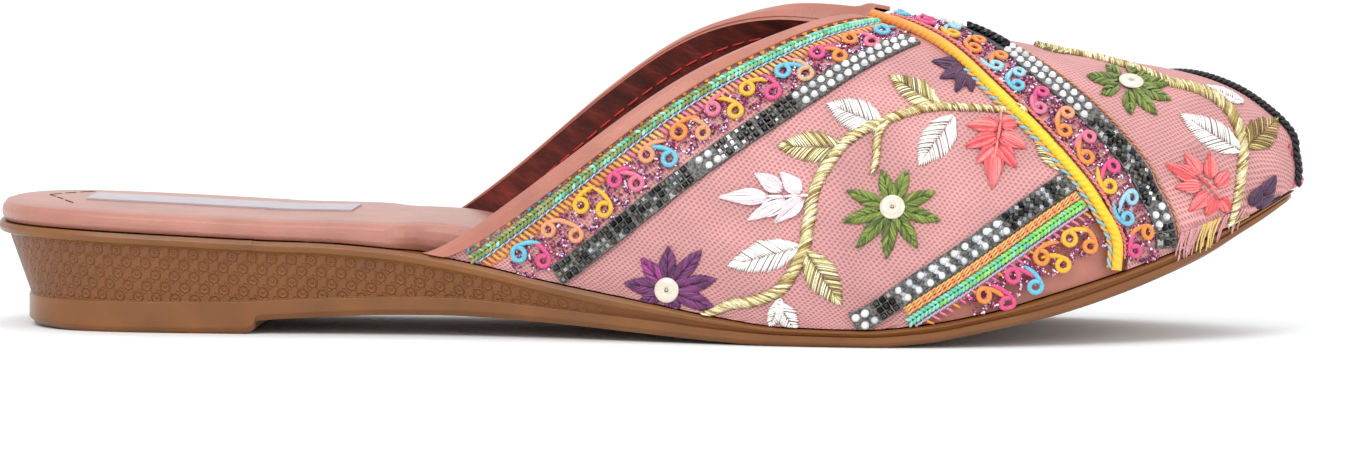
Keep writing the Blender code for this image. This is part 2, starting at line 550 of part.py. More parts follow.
def trims(leather, braid, stones, piping, black):
    """Bindings, tapes, braids, piping and cord, each lying on the strap beneath it."""
    on_under = level(GAP + UNDER_THICKNESS + GAP)

    def on_over(at, girth):
        return over_high(at, girth) + GAP

    collar_binding("collar_binding_outer", leather, -1.0, BINDING_START, level(GAP + UNDER_THICKNESS))
    collar_binding("collar_binding_inner", leather, 0.0, 1.0,
                   lambda at, girth: over_high(at, girth) + THROAT_EASE * (1 - blend(0.12, 0.3, girth)))
    rear_edge = line_points(line([*COLLAR[:7], PAST_THROAT]), -1.0, PAST_THROAT.girth)
    offset = TILE_OFFSET - TILE_CLOSING * blend(-0.5, 0.0, rear_edge[:, 1])
    tape("tile_tape", stones, before_crossing(beside(rear_edge, offset)), TAPE_WIDTH, TAPE_THICKNESS, on_under)
    tape("braid_rear", braid, before_crossing(beside(rear_edge, BRAID_OFFSET)), BRAID_WIDTH, BRAID_THICKNESS,
         on_under, crown=0.4)
    front_stones = line_points(line(FRONT_STONES), -1.0, -0.5)
    tape("stone_tape_under", stones, before_crossing(front_stones), TAPE_WIDTH, TAPE_THICKNESS, on_under)
    tape("braid_front", braid, before_crossing(beside(front_stones, FRONT_BRAID_OFFSET)), BRAID_WIDTH,
         BRAID_THICKNESS, on_under, crown=0.4)
    inner_edge = line_points(COLLAR_AT, 0.06, 1.0)
    tape("braid_inner", braid, beside(inner_edge, BRAID_OFFSET), BRAID_WIDTH, BRAID_THICKNESS, on_over, crown=0.4)
    crossing = line_points(over_rear, -1.0, 1.0)
    offset = STONE_OFFSET + (STONE_OFFSET_INNER - STONE_OFFSET) * blend(-0.1, 0.2, crossing[:, 1])
    tape("stone_tape_over", stones, beside(crossing, offset), TAPE_WIDTH, TAPE_THICKNESS,
         lambda at, girth: on_over(at, girth) + STONE_EASE, count=44)
    cord("crossing_piping", piping, line_points(CROSSING_AT, -0.975, -0.06), PIPING_RADIUS, over_low)
    cord("toe_cord", black, line_points(lambda girth: OVER_FRONT_AT(girth) - TOE_CORD_INSET, -0.7, 0.97),
         TOE_CORD_RADIUS, lambda at, girth: on_over(at, girth) + TOE_EASE)


def stand_on_origin(objects):
    """Move every mesh so that the origin is on the floor under the middle of the whole shoe."""
    points = np.array([vertex.co for made in objects for vertex in made.data.vertices])
    low, high = points.min(axis=0), points.max(axis=0)
    for made in objects:
        made.data.transform(Matrix.Translation((-(low[0] + high[0]) / 2, -(low[1] + high[1]) / 2, -low[2])))


def main():
    for old in list(bpy.data.objects):
        bpy.data.objects.remove(old)
    sole_unit(material("moulded brown rubber", "8B5E34", 0.5))
    pink_leather = material("pink leatherette", "D79A8C", 0.42)
    insole(pink_leather)
    insole_label(material("pale label", "E3D6DC", 0.6))
    upper(material("dusty pink leather over dark velvet", "C4847A", 0.6))
    net = material("pink embroidered net", "CC8F92", 0.8)
    strap_under(net)
    strap_over(net)
    trims(pink_leather, material("green chain braid", "5FC79A", 0.7), material("silver stones on black", "B9B9C2", 0.25),
          material("yellow whipped piping", "F5C52A", 0.5), material("black cord", "17151A", 0.6))
    stand_on_origin(list(bpy.data.objects))


main()
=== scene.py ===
"""Looks of the embroidered flat mule, right shoe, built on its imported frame.

Sizes are in millimetres in the shoe's own frame: x runs from the heel's back edge to the toe, y from the
outer (lateral) side at minus to the inner (medial) side at plus, and z is height above the floor.
placed() turns them to metres in the frame. The leather, straps and sole follow the last's tables, which
no primitive can give, so they are made from grids of points. What repeats, such as a stone, is modelled
once by hand and copied along its line.
"""

import math
from collections import namedtuple

import bmesh
import bpy
import numpy as np
from bpy.props import FloatProperty, FloatVectorProperty, PointerProperty
from mathutils import Matrix, Vector
from mathutils.kdtree import KDTree


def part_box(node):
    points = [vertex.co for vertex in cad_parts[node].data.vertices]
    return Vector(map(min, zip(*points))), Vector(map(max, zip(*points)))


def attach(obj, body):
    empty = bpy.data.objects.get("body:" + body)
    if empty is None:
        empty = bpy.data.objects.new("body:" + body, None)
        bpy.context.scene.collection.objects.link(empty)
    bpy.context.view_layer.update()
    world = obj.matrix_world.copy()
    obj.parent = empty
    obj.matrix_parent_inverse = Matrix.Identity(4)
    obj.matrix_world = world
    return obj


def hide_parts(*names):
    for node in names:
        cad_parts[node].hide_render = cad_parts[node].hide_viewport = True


bl_info = {
    "name": "Embroidered flat mule",
    "version": (1, 0, 0),
    "blender": (4, 5, 0),
    "location": "View3D > Sidebar > Mule",
    "description": "Builds the looks of an embroidered flat mule on its packed frame",
    "category": "Object",
}

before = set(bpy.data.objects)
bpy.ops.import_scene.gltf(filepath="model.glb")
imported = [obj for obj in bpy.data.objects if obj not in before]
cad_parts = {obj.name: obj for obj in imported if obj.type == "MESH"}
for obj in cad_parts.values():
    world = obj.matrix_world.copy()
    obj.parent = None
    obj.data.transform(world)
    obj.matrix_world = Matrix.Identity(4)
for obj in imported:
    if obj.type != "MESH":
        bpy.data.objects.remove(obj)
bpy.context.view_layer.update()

MM = 0.001
WIDEST = 41.0  # the sole's greatest distance from the long axis, on the outer side
SOLE_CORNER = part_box("sole_unit")[0]
SHIFT = np.array([SOLE_CORNER[0], SOLE_CORNER[1] + WIDEST * MM, 0.0])
MERGE = 0.002  # points closer than this are one point
SEED = 7

# Sizes that the shoe's maker would keep
GAP = 0.3
LIP_HEIGHT = 1.9
LIP_OVERHANG = 0.3
BAND_STEP = 0.4
FLOOR_EDGE = 1.1
SEAT_EDGE = 0.6
INSOLE_CROWN = 0.5
INSOLE_MARGIN = 0.8
LABEL_FROM, LABEL_TO = 18.5, 71.5
LABEL_HALF_WIDTH = 7.5
LABEL_THICKNESS = 0.35
LABEL_CROWN_HALF = 25.0
SPINE_FROM, SPINE_TO = 14.0, 242.0
WALL = 1.4
UNDER_THICKNESS = 0.8
OVER_THICKNESS = 1.1
BINDING_LEG = 4.4
VELVET_SEAM = 5.0  # the red seam's distance from the collar
VELVET_SETBACK = 0.5
BINDING_THICKNESS = 0.7
EDGE_SETBACK = 1.5
THROAT_EASE = 0.5
THROAT_KINK = 0.035  # share of the girth over which lines turn at the throat
CLIMB_FROM, CLIMB_TO = -10.0, -4.0
PIPING_SETBACK = 0.8
TAPE_WIDTH = 4.3
TAPE_THICKNESS = 0.75
PIPING_RADIUS = 1.05
TOE_CORD_INSET = 1.6
BRAID_OFFSET = 5.2
TILE_OFFSET = 18.0
TILE_CLOSING = 3.0
STONE_OFFSET = 10.2
STONE_OFFSET_INNER = 15.5
FRONT_BRAID_OFFSET = 5.1
ON_UNDER = GAP + UNDER_THICKNESS  # height of the lower strap's face over the leather

def rows(kind, *values):
    """The rows of a table with named columns."""
    return [kind(*row) for row in values]


# The last's and the sole's tables
SoleRow = namedtuple("SoleRow", "x lateral medial seat under band slope")
SOLE = rows(
    SoleRow,
    (0.0, 0.0, 0.0, 20.8, 0.6, 6.3, 4.2),
    (0.9, 8.2, 8.2, 20.8, 0.6, 6.3, 4.2),
    (3.6, 15.4, 15.3, 20.7, 0.55, 6.3, 4.1),
    (8.4, 21.3, 21.0, 20.6, 0.4, 6.2, 3.9),
    (15.5, 25.6, 25.0, 20.4, 0.15, 6.2, 3.6),
    (25.0, 28.0, 27.4, 20.0, 0.0, 6.1, 3.3),
    (37.0, 28.9, 28.2, 19.5, 0.0, 6.1, 3.1),
    (50.5, 28.9, 28.0, 18.9, 0.0, 6.3, 2.9),
    (53.2, 28.9, 27.9, 18.8, 0.35, 6.4, 2.8),
    (54.3, 28.9, 27.9, 18.8, 1.2, 6.4, 2.8),
    (54.8, 28.9, 27.8, 18.7, 2.5, 6.5, 2.8),
    (66.0, 28.7, 27.0, 18.4, 3.4, 7.1, 2.6),
    (80.0, 28.7, 25.9, 17.4, 4.1, 7.6, 2.3),
    (91.0, 29.0, 25.2, 15.9, 4.2, 7.7, 2.1),
    (101.0, 29.8, 25.0, 14.0, 3.9, 7.2, 1.9),
    (111.0, 31.0, 25.5, 11.8, 3.3, 6.3, 1.6),
    (122.0, 32.9, 26.9, 9.7, 2.5, 5.3, 1.3),
    (134.0, 35.3, 29.2, 7.6, 1.5, 4.2, 1.0),
    (146.0, 37.7, 32.3, 5.4, 0.6, 3.0, 0.8),
    (160.0, 40.0, 35.8, 3.6, 0.0, 2.2, 0.6),
    (176.0, 41.0, 38.3, 3.3, 0.0, 2.0, 0.5),
    (188.0, 40.3, 38.5, 4.4, 0.9, 2.9, 0.5),
    (200.0, 37.9, 37.3, 6.6, 3.1, 5.1, 0.5),
    (212.0, 33.9, 34.8, 10.0, 5.7, 7.7, 0.5),
    (224.0, 28.4, 31.0, 13.7, 9.3, 11.5, 0.5),
    (234.0, 22.5, 26.7, 17.3, 13.1, 15.2, 0.5),
    (242.0, 16.4, 21.9, 20.6, 16.7, 18.6, 0.5),
    (248.5, 10.4, 17.2, 23.7, 20.6, 22.3, 0.5),
    (252.6, 5.8, 13.5, 26.0, 23.0, 24.7, 0.5),
    (255.2, 2.0, 9.9, 27.5, 24.8, 26.3, 0.5),
    (256.6, -1.2, 6.8, 28.3, 25.8, 27.1, 0.5),
    (257.0, -4.0, 4.0, 28.5, 26.1, 27.4, 0.5),
)

# A row for each cross-section of the last's surface, from feather edge to ridge. at is the section's
# place along the last, which is x until the toe turns down. ridge_y and ridge are the crest, lean above 1
# hollows the flanks between feather edge and crest, and lead is how far the crest stands ahead of the
# feather edge.
VampRow = namedtuple("VampRow", "at x lateral medial ridge_y ridge lean lead")
VAMP = rows(
    VampRow,
    (78.0, 78.0, 26.5, 23.8, 2.5, 94.0, 1.32, 0.0),
    (95.0, 95.0, 27.0, 22.9, 3.0, 86.5, 1.32, 0.0),
    (110.0, 110.0, 28.6, 23.2, 3.5, 80.0, 1.30, 0.0),
    (125.0, 125.0, 31.2, 25.2, 4.0, 74.0, 1.28, 0.0),
    (140.0, 140.0, 34.3, 28.4, 4.0, 68.8, 1.26, 0.0),
    (155.0, 155.0, 37.0, 32.3, 4.0, 64.4, 1.25, 0.0),
    (172.0, 172.0, 38.8, 35.7, 4.0, 60.6, 1.24, 0.0),
    (186.0, 186.0, 38.4, 36.5, 4.0, 58.0, 1.22, 0.0),
    (200.0, 200.0, 35.7, 35.1, 4.0, 54.8, 1.18, 0.0),
    (214.0, 214.0, 31.0, 31.9, 4.0, 52.3, 1.13, 0.0),
    (226.0, 226.0, 25.2, 28.0, 4.0, 50.4, 1.08, 0.0),
    (236.0, 236.0, 18.9, 23.3, 4.0, 48.5, 1.02, 0.2),
    (243.0, 243.0, 13.4, 19.0, 4.0, 45.7, 0.97, 0.8),
    (248.5, 248.4, 8.3, 15.0, 4.0, 42.1, 0.93, 1.3),
    (252.5, 252.2, 4.0, 11.6, 4.0, 38.4, 0.92, 1.7),
    (256.0, 254.4, 0.4, 8.3, 4.0, 34.7, 0.94, 1.7),
    (258.6, 255.4, -1.9, 6.1, 4.0, 31.6, 0.97, 1.2),
    (260.2, 255.8, -3.2, 4.8, 4.0, 30.1, 1.0, 0.8),
    (261.5, 255.9, -4.0, 4.0, 4.0, 28.7, 1.0, 0.0),
)
TOE_POLE = VAMP[-1].at

# Lines over the vamp. girth is the place round it, -1 at the lateral feather edge, 0 on the ridge and 1
# at the medial feather edge, and at is the place along the last.
LineRow = namedtuple("LineRow", "girth at")
COLLAR = rows(
    LineRow,
    (-1.0, 88.0), (-0.84, 102.8), (-0.64, 121.7), (-0.455, 138.3),
    (-0.28, 153.3), (-0.11, 165.4), (0.0, 172.0), (0.18, 153.6),
    (0.34, 139.0), (0.54, 122.2), (0.77, 102.5), (1.0, 81.5),
)
PAST_THROAT = LineRow(0.35, 194.0)  # where the outer collar's line would run on under the upper strap
CROSSING = rows(
    LineRow,
    (-1.0, 223.2), (-0.9, 223.6), (-0.73, 219.8), (-0.52, 210.6),
    (-0.31, 197.8), (-0.15, 187.0), (0.0, 172.0),
)
OVER_FRONT = rows(
    LineRow,
    (-1.0, 260.6), (-0.7, 260.0), (-0.4, 258.6), (-0.2, 256.4),
    (-0.08, 253.0), (0.0, 248.5), (0.08, 242.0), (0.17, 234.5), (0.35, 223.0),
    (0.61, 209.5), (0.8, 197.5), (1.0, 183.0),
)
UNDER_FRONT = rows(
    LineRow,
    (-1.0, 184.0), (-0.9, 199.5), (-0.78, 214.0), (-0.68, 224.0),
    (-0.55, 233.0), (-0.35, 242.0), (-0.15, 248.5), (0.0, 251.5),
    (0.2, 254.5), (0.4, 257.0), (0.7, 258.6), (1.0, 259.2),
)
FRONT_STONES = rows(
    LineRow,
    (-1.0, 172.0), (-0.893, 183.4), (-0.775, 198.6), (-0.652, 213.4),
    (-0.5, 230.0),
)
PadRow = namedtuple("PadRow", "x thickness")
# thicker at the arch, which fills the slope down from the heel
INSOLE = rows(
    PadRow,
    (0.0, 4.0), (20.0, 3.9), (60.0, 3.9), (80.0, 4.7), (95.0, 6.0),
    (110.0, 5.8), (140.0, 3.6), (165.0, 3.0), (257.0, 3.0),
)
RingRow = namedtuple("RingRow", "draw rise")
# the rolled edge: how far a ring draws in, and its share of the thickness
INSOLE_EDGE = rows(
    RingRow,
    (0.8, 0.0), (0.2, 0.2), (0.0, 0.45), (0.25, 0.72), (1.0, 0.92),
    (2.6, 1.0),
)


def curve(keys, values, tangent):
    """A function that reads the cubic through values with these slopes."""

    def read(at):
        at = np.clip(at, keys[0], keys[-1])
        i = np.clip(np.searchsorted(keys, at, side="right") - 1, 0, len(keys) - 2)
        h = keys[i + 1] - keys[i]
        s = (at - keys[i]) / h
        return (
            values[i] * (1 + 2 * s) * (1 - s) ** 2
            + values[i + 1] * s * s * (3 - 2 * s)
            + h * s * (1 - s) * (tangent[i] * (1 - s) - tangent[i + 1] * s)
        )

    return read


def smooth_table(keys, values):
    """A monotone cubic through the table: no bump between rows that the rows don't hold."""
    keys, values = np.asarray(keys, float), np.asarray(values, float)
    step = np.diff(keys)
    slope = np.diff(values) / step
    tangent = np.zeros_like(values)
    for i in range(1, len(keys) - 1):
        if slope[i - 1] * slope[i] > 0:
            a = 2 * step[i] + step[i - 1]
            b = step[i] + 2 * step[i - 1]
            tangent[i] = (a + b) / (a / slope[i - 1] + b / slope[i])
    tangent[0], tangent[-1] = slope[0], slope[-1]
    return curve(keys, values, tangent)


def column(rows, key, value):
    return smooth_table([getattr(row, key) for row in rows], [getattr(row, value) for row in rows])


def line(rows):
    return column(rows, "girth", "at")


def blend(low, high, value):
    """0 below low, 1 above high, and smooth between."""
    s = np.clip((np.asarray(value, float) - low) / (high - low), 0.0, 1.0)
    return s * s * (3 - 2 * s)


SOLE_AT = {
    name: smooth_table(range(len(SOLE)), [getattr(row, name) for row in SOLE]) for name in SoleRow._fields
}
SEAT = column(SOLE, "x", "seat")
VAMP_AT = {name: column(VAMP, "at", name) for name in VampRow._fields}
INSOLE_THICKNESS = column(INSOLE, "x", "thickness")
COLLAR_AT = line(COLLAR)
CROSSING_AT = line(CROSSING)
OVER_FRONT_AT = line(OVER_FRONT)
UNDER_FRONT_AT = line(UNDER_FRONT)


def under_rear(girth):
    """Rear edge of the lower strap: the collar outside, and the mirror image of the crossing inside."""
    return np.where(girth < 0, COLLAR_AT(girth), CROSSING_AT(-np.abs(girth)))


def over_rear(girth):
    """Rear edge of the upper strap: the crossing outside, and the collar inside."""
    return np.where(girth < 0, CROSSING_AT(-np.abs(girth)), COLLAR_AT(girth))


def bare_vamp(at, girth):
    """A point of the last's surface, which is the outer face of the vamp's leather."""
    row = {name: read(at) for name, read in VAMP_AT.items()}
    angle = np.abs(girth) * math.pi / 2
    half = np.where(girth > 0, row["medial"] - row["ridge_y"], row["lateral"] + row["ridge_y"])
    # every section meets in the toe's point
    rise = np.maximum(np.cos(angle), 0.0) ** row["lean"] * (at < TOE_POLE)
    foot = SEAT(row["x"]) + GAP
    return np.stack([
        row["x"] + row["lead"] * rise,
        row["ridge_y"] + np.sign(girth) * half * np.sin(angle),
        foot + (row["ridge"] - foot) * rise,
    ], axis=-1)


def vamp_slopes(at, girth):
    """How the surface point moves per unit of at and per unit of girth."""
    at = np.clip(at, VAMP[0].at + 0.1, TOE_POLE - 0.35)
    girth = np.clip(girth, -0.985, 0.985)
    along = (bare_vamp(at + 0.1, girth) - bare_vamp(at - 0.1, girth)) / 0.2
    around = (bare_vamp(at, girth + 0.01) - bare_vamp(at, girth - 0.01)) / 0.02
    return along, around


def vamp(at, girth, lift=0.0):
    """A point at a height over the vamp's outer face, along its normal."""
    at, girth, lift = np.broadcast_arrays(np.asarray(at, float), np.asarray(girth, float),
                                          np.asarray(lift, float))
    along, around = vamp_slopes(at, girth)
    normal = np.cross(along, around)
    normal[..., 2] *= np.abs(girth) < 0.985  # the wall stands upright where it meets the sole
    normal /= np.linalg.norm(normal, axis=-1, keepdims=True)
    tip = blend(TOE_POLE - 2.0, TOE_POLE, at)[..., None]
    normal = normal * (1 - tip) + np.array([1.0, 0.0, 0.0]) * tip
    point = bare_vamp(at, girth) + normal * lift[..., None]
    point[..., 2] = np.maximum(point[..., 2], SEAT(point[..., 0]) + GAP)
    return point


def over_low(at, girth):
    """Lower face of the upper strap, which climbs on to the lower strap where that lies beneath."""
    behind = blend(CLIMB_FROM, CLIMB_TO, at - under_rear(girth))
    ahead = blend(CLIMB_FROM, CLIMB_TO, UNDER_FRONT_AT(girth) - at)
    return GAP + (UNDER_THICKNESS + GAP) * behind * ahead


def over_high(at, girth):
    return over_low(at, girth) + OVER_THICKNESS


def line_points(read, low, high, count=160):
    """(at, girth) pairs along a line over the vamp."""
    girth = np.linspace(low, high, count)
    return np.stack([read(girth), girth], axis=-1)


def sole_point(u, side, inset, height):
    """A point of the sole's outline between its rows, drawn in by inset. side is -1 for lateral."""
    width = SOLE_AT["lateral" if side < 0 else "medial"]
    before, after = np.maximum(u - 0.02, 0.0), np.minimum(u + 0.02, len(SOLE) - 1.0)
    ahead = np.stack([SOLE_AT["x"](after) - SOLE_AT["x"](before), side * (width(after) - width(before))],
                     axis=-1)
    flat = np.stack([SOLE_AT["x"](u), side * width(u)], axis=-1)
    ends = np.where(u < 1.0, -1.0, 1.0) * (np.isclose(u, 0.0) | np.isclose(u, len(SOLE) - 1.0))
    flat = drawn_in(flat, ahead, side, inset, ends)
    return np.concatenate([flat, np.broadcast_to(height, len(flat))[:, None]], axis=-1)


def drawn_in(flat, ahead, side, inset, ends):
    """Points of an outline moved inwards. ends is -1 at the heel's point, 1 at the toe's, 0 elsewhere."""
    outward = np.stack([-side * ahead[:, 1], side * ahead[:, 0]], axis=-1)
    outward = np.where(ends[:, None] != 0, np.stack([ends, 0.0 * ends], axis=-1), outward)
    outward /= np.linalg.norm(outward, axis=-1, keepdims=True)
    return flat - outward * np.broadcast_to(inset, len(flat))[:, None]


def sole_levels(u):
    """Inset and height of each edge that runs round the sole, from the floor up."""
    row = {name: read(u) for name, read in SOLE_AT.items()}
    lip = np.minimum(LIP_HEIGHT, 0.45 * (row["seat"] - row["band"]))
    edge = np.minimum(FLOOR_EDGE, 0.4 * (row["band"] - row["under"]))
    overhang = LIP_OVERHANG + row["slope"] / 2
    foot = row["slope"] + overhang
    return [
        (foot + FLOOR_EDGE - BAND_STEP, row["under"]),
        (foot - BAND_STEP, row["under"] + edge),
        (foot - BAND_STEP, row["band"]),
        (foot, row["band"] + 0.12 * lip),
        (overhang, row["seat"] - 1.3 * lip),
        (0.25 * overhang, row["seat"] - lip),
        (0.0, row["seat"] - 0.45 * lip),
        (SEAT_EDGE, row["seat"]),
    ]


def within_vamp(at, side, inset):
    """The vamp's feather edge seen from above, drawn in by inset."""
    at = np.maximum(at, VAMP[0].at)
    width = VAMP_AT["lateral" if side < 0 else "medial"]
    before, after = at - 0.3, np.minimum(at + 0.3, TOE_POLE)
    x = VAMP_AT["x"]
    ahead = np.stack([x(after) - x(before), side * (width(after) - width(before))], axis=-1)
    flat = np.stack([x(at), side * width(at)], axis=-1)
    return drawn_in(flat, ahead, side, inset, 1.0 * np.isclose(at, TOE_POLE))


def placed(points):
    """Points in the shoe's own millimetres, as metres in the frame."""
    return np.asarray(points, float) * MM + SHIFT


def from_hex(hex_colour):
    """Linear red, green, blue and alpha of an sRGB hex colour."""
    channels = [int(hex_colour[i:i + 2], 16) / 255 for i in (0, 2, 4)]
    return (*[c / 12.92 if c <= 0.04045 else ((c + 0.055) / 1.055) ** 2.4 for c in channels], 1.0)


def add_node(tree, kind, sockets=None, stops=(), **settings):
    """A node with settings, colour stops and links. A socket gets a value, or the node that feeds it."""
    made = tree.nodes.new("ShaderNode" + kind)
    for name, value in settings.items():
        setattr(made, name, value)
    for i, (place, colour) in enumerate(stops):
        elements = made.color_ramp.elements
        element = elements[i] if i < len(elements) else elements.new(place)
        element.position, element.color = place, colour
    for key, value in (sockets or {}).items():
        if isinstance(value, bpy.types.Node):
            value = next(output for output in value.outputs if output.enabled)
        if isinstance(value, bpy.types.NodeSocket):
            tree.links.new(value, made.inputs[key])
        else:
            made.inputs[key].default_value = value
    return made


def toned(colour, factor):
    """A colour made lighter or darker by a factor."""
    return (*[min(1.0, part * factor) for part in colour[:3]], 1.0)


def grey(value):
    return (value, value, value, 1.0)


def new_finish(name, colour, roughness, **sockets):
    """A material with its shader's constants set on the shader's own sockets."""
    made = bpy.data.materials.new(name)
    made.use_nodes = True
    tree = made.node_tree
    shader = tree.nodes["Principled BSDF"]
    shader.inputs["Base Color"].default_value = toned(colour, 1.0)
    shader.inputs["Roughness"].default_value = roughness
    for key, value in sockets.items():
        shader.inputs[key.replace("_", " ")].default_value = value
    made.diffuse_color = toned(colour, 1.0)
    return made, tree, shader


def colour_setting(name, description, code):
    return FloatVectorProperty(
        name=name, description=description, subtype="COLOR", min=0.0, max=1.0, default=from_hex(code)[:3],
    )


def size_setting(name, description, default):
    return FloatProperty(name=name, description=description, unit="LENGTH", precision=5, default=default)


class MuleColours(bpy.types.PropertyGroup):
    """The colours that a user would change."""

    leather: colour_setting("Leather", "Vamp and turned edges", "AF6D5C")
    insole: colour_setting("Insole", "Leatherette over the padded insole", "AE7566")
    label: colour_setting("Label", "Blank satin strip on the insole", "B2A8AD")
    lining: colour_setting("Lining", "Velvet inside the vamp", "5E2018")
    net: colour_setting("Net", "Embroidery net of the straps", "CC908E")
    sole_wall: colour_setting("Sole wall", "Embossed wall of the sole", "784519")
    sole_band: colour_setting("Sole band", "Smooth band and lip of the sole", "7C4A1B")
    piping: colour_setting("Piping", "Whipped cord where the straps cross", "F7C61C")
    cord: colour_setting("Toe cord", "Twisted cord at the toe", "1B191E")


class MuleSizes(bpy.types.PropertyGroup):
    """The sizes that a user would change."""

    net_mesh: size_setting("Net mesh", "Distance between the net's holes", 0.00105)
    ring_pitch: size_setting("Embossed rings", "Distance between rings on the sole's wall", 0.0039)
    rib_pitch: size_setting("Tread ribs", "Distance between ribs under the sole", 0.0024)
    leather_grain: size_setting("Leather grain", "Width of the leatherette's grain", 0.0007)
    curl_pitch: size_setting("Curl spacing", "Distance between curls in a row", 0.0079)
    curl_thread: size_setting("Curl thread", "Thickness of the curls' thread", 0.00102)
    gathers: size_setting("Net gathers", "Depth of the net's folds at the sole", 0.00016)
    stitch_puff: FloatProperty(
        name="Stitch padding", description="How much the embroidery stands up, as a factor", default=1.0,
        min=0.2, max=2.0,
    )


def colour_of(name):
    """One of the user's colours, linear red, green and blue."""
    return getattr(bpy.context.scene.mule_colours, name)


def size_of(name):
    """One of the user's sizes, in millimetres."""
    return getattr(bpy.context.scene.mule_sizes, name) / MM


def along_line(pairs, count):
    """(at, girth) pairs spaced evenly along a line, and the length up to each, in millimetres."""
    points = bare_vamp(pairs[:, 0], pairs[:, 1])
    length = np.concatenate([[0.0], np.cumsum(np.linalg.norm(np.diff(points, axis=0), axis=-1))])
    place = np.linspace(0.0, length[-1], count)
    return np.stack([np.interp(place, length, pairs[:, 0]), np.interp(place, length, pairs[:, 1])],
                    axis=-1), place


def in_surface(along, around, vector):
    """How far at and girth change when a point moves by a vector that lies in the surface."""
    aa, ab, bb = (along * along).sum(-1), (along * around).sum(-1), (around * around).sum(-1)
    av, bv = (along * vector).sum(-1), (around * vector).sum(-1)
    return np.stack([av * bb - bv * ab, bv * aa - av * ab], axis=-1) / (aa * bb - ab * ab)[..., None]


def across_line(pairs):
    """For each point of a line, how far at and girth change when it moves 1 mm sideways, towards the toe."""
    along, around = vamp_slopes(pairs[:, 0], pairs[:, 1])
    ahead = np.gradient(pairs, axis=0)
    tangent = along * ahead[:, :1] + around * ahead[:, 1:]
    side = -np.cross(np.cross(along, around), tangent)
    side /= np.linalg.norm(side, axis=-1, keepdims=True)
    return in_surface(along, around, side)


def beside(pairs, distance):
    """A line moved over the surface by a distance, towards the toe when it is positive."""
    pairs = np.array(pairs, float)
    steps = 6
    distance = np.broadcast_to(distance, len(pairs))
    for _ in range(steps):
        pairs = pairs + across_line(pairs) * (distance / steps)[:, None]
    return pairs


class Band:
    """A line over the vamp, with a place for each distance along it and across it, in millimetres."""

    def __init__(self, pairs, lift):
        pairs = np.asarray(pairs)
        self.pairs, self.place = along_line(pairs[np.abs(pairs[:, 1]) < 0.985], 320)
        self.across = across_line(self.pairs)
        self.length = self.place[-1]
        self.lift = lift

    def pair(self, s, t):
        s, t = np.broadcast_arrays(np.asarray(s, float), np.asarray(t, float))
        at, girth = (
            np.interp(s, self.place, self.pairs[:, i]) + t * np.interp(s, self.place, self.across[:, i])
            for i in (0, 1)
        )
        return at, np.clip(girth, -0.999, 0.999)

    def __call__(self, s, t, height=0.0):
        at, girth = self.pair(s, t)
        return vamp(at, girth, self.lift(at, girth) + height)


def level(height):
    return lambda at, girth: height + 0.0 * girth + 0.0 * at


on_under = level(ON_UNDER)
on_leather = level(0.0)


def fill_mesh(name, verts, faces, finishes, uv=None, slots=None, dye=None):
    """An object in metres from points in millimetres. uv is per face corner, and dye per point."""
    data = bpy.data.meshes.new(name)
    data.from_pydata(placed(verts).tolist(), [], faces)
    if uv is not None:
        layer = data.uv_layers.new(name="surface")
        layer.uv.foreach_set("vector", np.asarray(uv, np.float32).ravel())
    if slots is not None:
        data.polygons.foreach_set("material_index", np.asarray(slots, np.int32))
    if dye is not None:
        colour = data.color_attributes.new("dye", "FLOAT_COLOR", "POINT")
        colour.data.foreach_set("color", np.asarray(dye, np.float32).ravel())
    for finish in finishes:
        data.materials.append(finish)
    made = bpy.data.objects.new(name, data)
    bpy.context.collection.objects.link(made)
    return made


def surface_piece(name, parts, finishes, crease=50.0):
    """A closed piece from grids that share borders. Each part is (points, uv in millimetres, slot)."""
    verts, faces, uv, slots = [], [], [], []
    first = 0
    for points, coords, slot in parts:
        points = np.asarray(points, float)
        rows, columns = points.shape[:2]
        index = np.arange(rows * columns).reshape(rows, columns)
        quads = np.stack([index[:-1, :-1], index[:-1, 1:], index[1:, 1:], index[1:, :-1]],
                         axis=-1).reshape(-1, 4)
        verts.append(points.reshape(-1, 3))
        faces += (quads + first).tolist()
        uv.append(np.asarray(coords, float).reshape(-1, 2)[quads].reshape(-1, 2))
        slots += [slot] * len(quads)
        first += rows * columns
    made = fill_mesh(name, np.concatenate(verts), faces, finishes, np.concatenate(uv), slots)
    mesh = bmesh.new()
    mesh.from_mesh(made.data)
    bmesh.ops.remove_doubles(mesh, verts=mesh.verts, dist=MERGE * MM)
    bmesh.ops.dissolve_degenerate(mesh, edges=mesh.edges, dist=MERGE * MM)
    bmesh.ops.recalc_face_normals(mesh, faces=mesh.faces)
    mesh.to_mesh(made.data)
    mesh.free()
    made.data.shade_smooth()
    made.data.set_sharp_from_angle(angle=math.radians(crease))
    return made


def flat_uv(points):
    """Lengths along the columns and along the rows of a grid, as its UV map in millimetres."""
    points = np.asarray(points, float)
    down = np.linalg.norm(np.diff(points, axis=0), axis=-1).mean(axis=1)
    u = np.broadcast_to(np.concatenate([[0.0], np.cumsum(down)])[:, None], points.shape[:2])
    v = np.concatenate([np.zeros((len(points), 1)),
                        np.cumsum(np.linalg.norm(np.diff(points, axis=1), axis=-1), axis=1)],
                       axis=1)
    return np.stack([u, v], axis=-1)


def shell(outer, inner, outer_slot=0, inner_slot=0):
    """The parts of a wall between two surfaces with the same rows and columns, closed round its borders."""
    parts = [(outer, flat_uv(outer), outer_slot), (inner, flat_uv(inner), inner_slot)]
    for a, b in ((outer[0], inner[0]), (outer[-1], inner[-1]), (outer[:, 0], inner[:, 0]),
                 (outer[:, -1], inner[:, -1])):
        if np.ptp(a, axis=0).max() > MERGE:
            rim = np.stack([a, b])
            parts.append((rim, flat_uv(rim), outer_slot))
    return parts


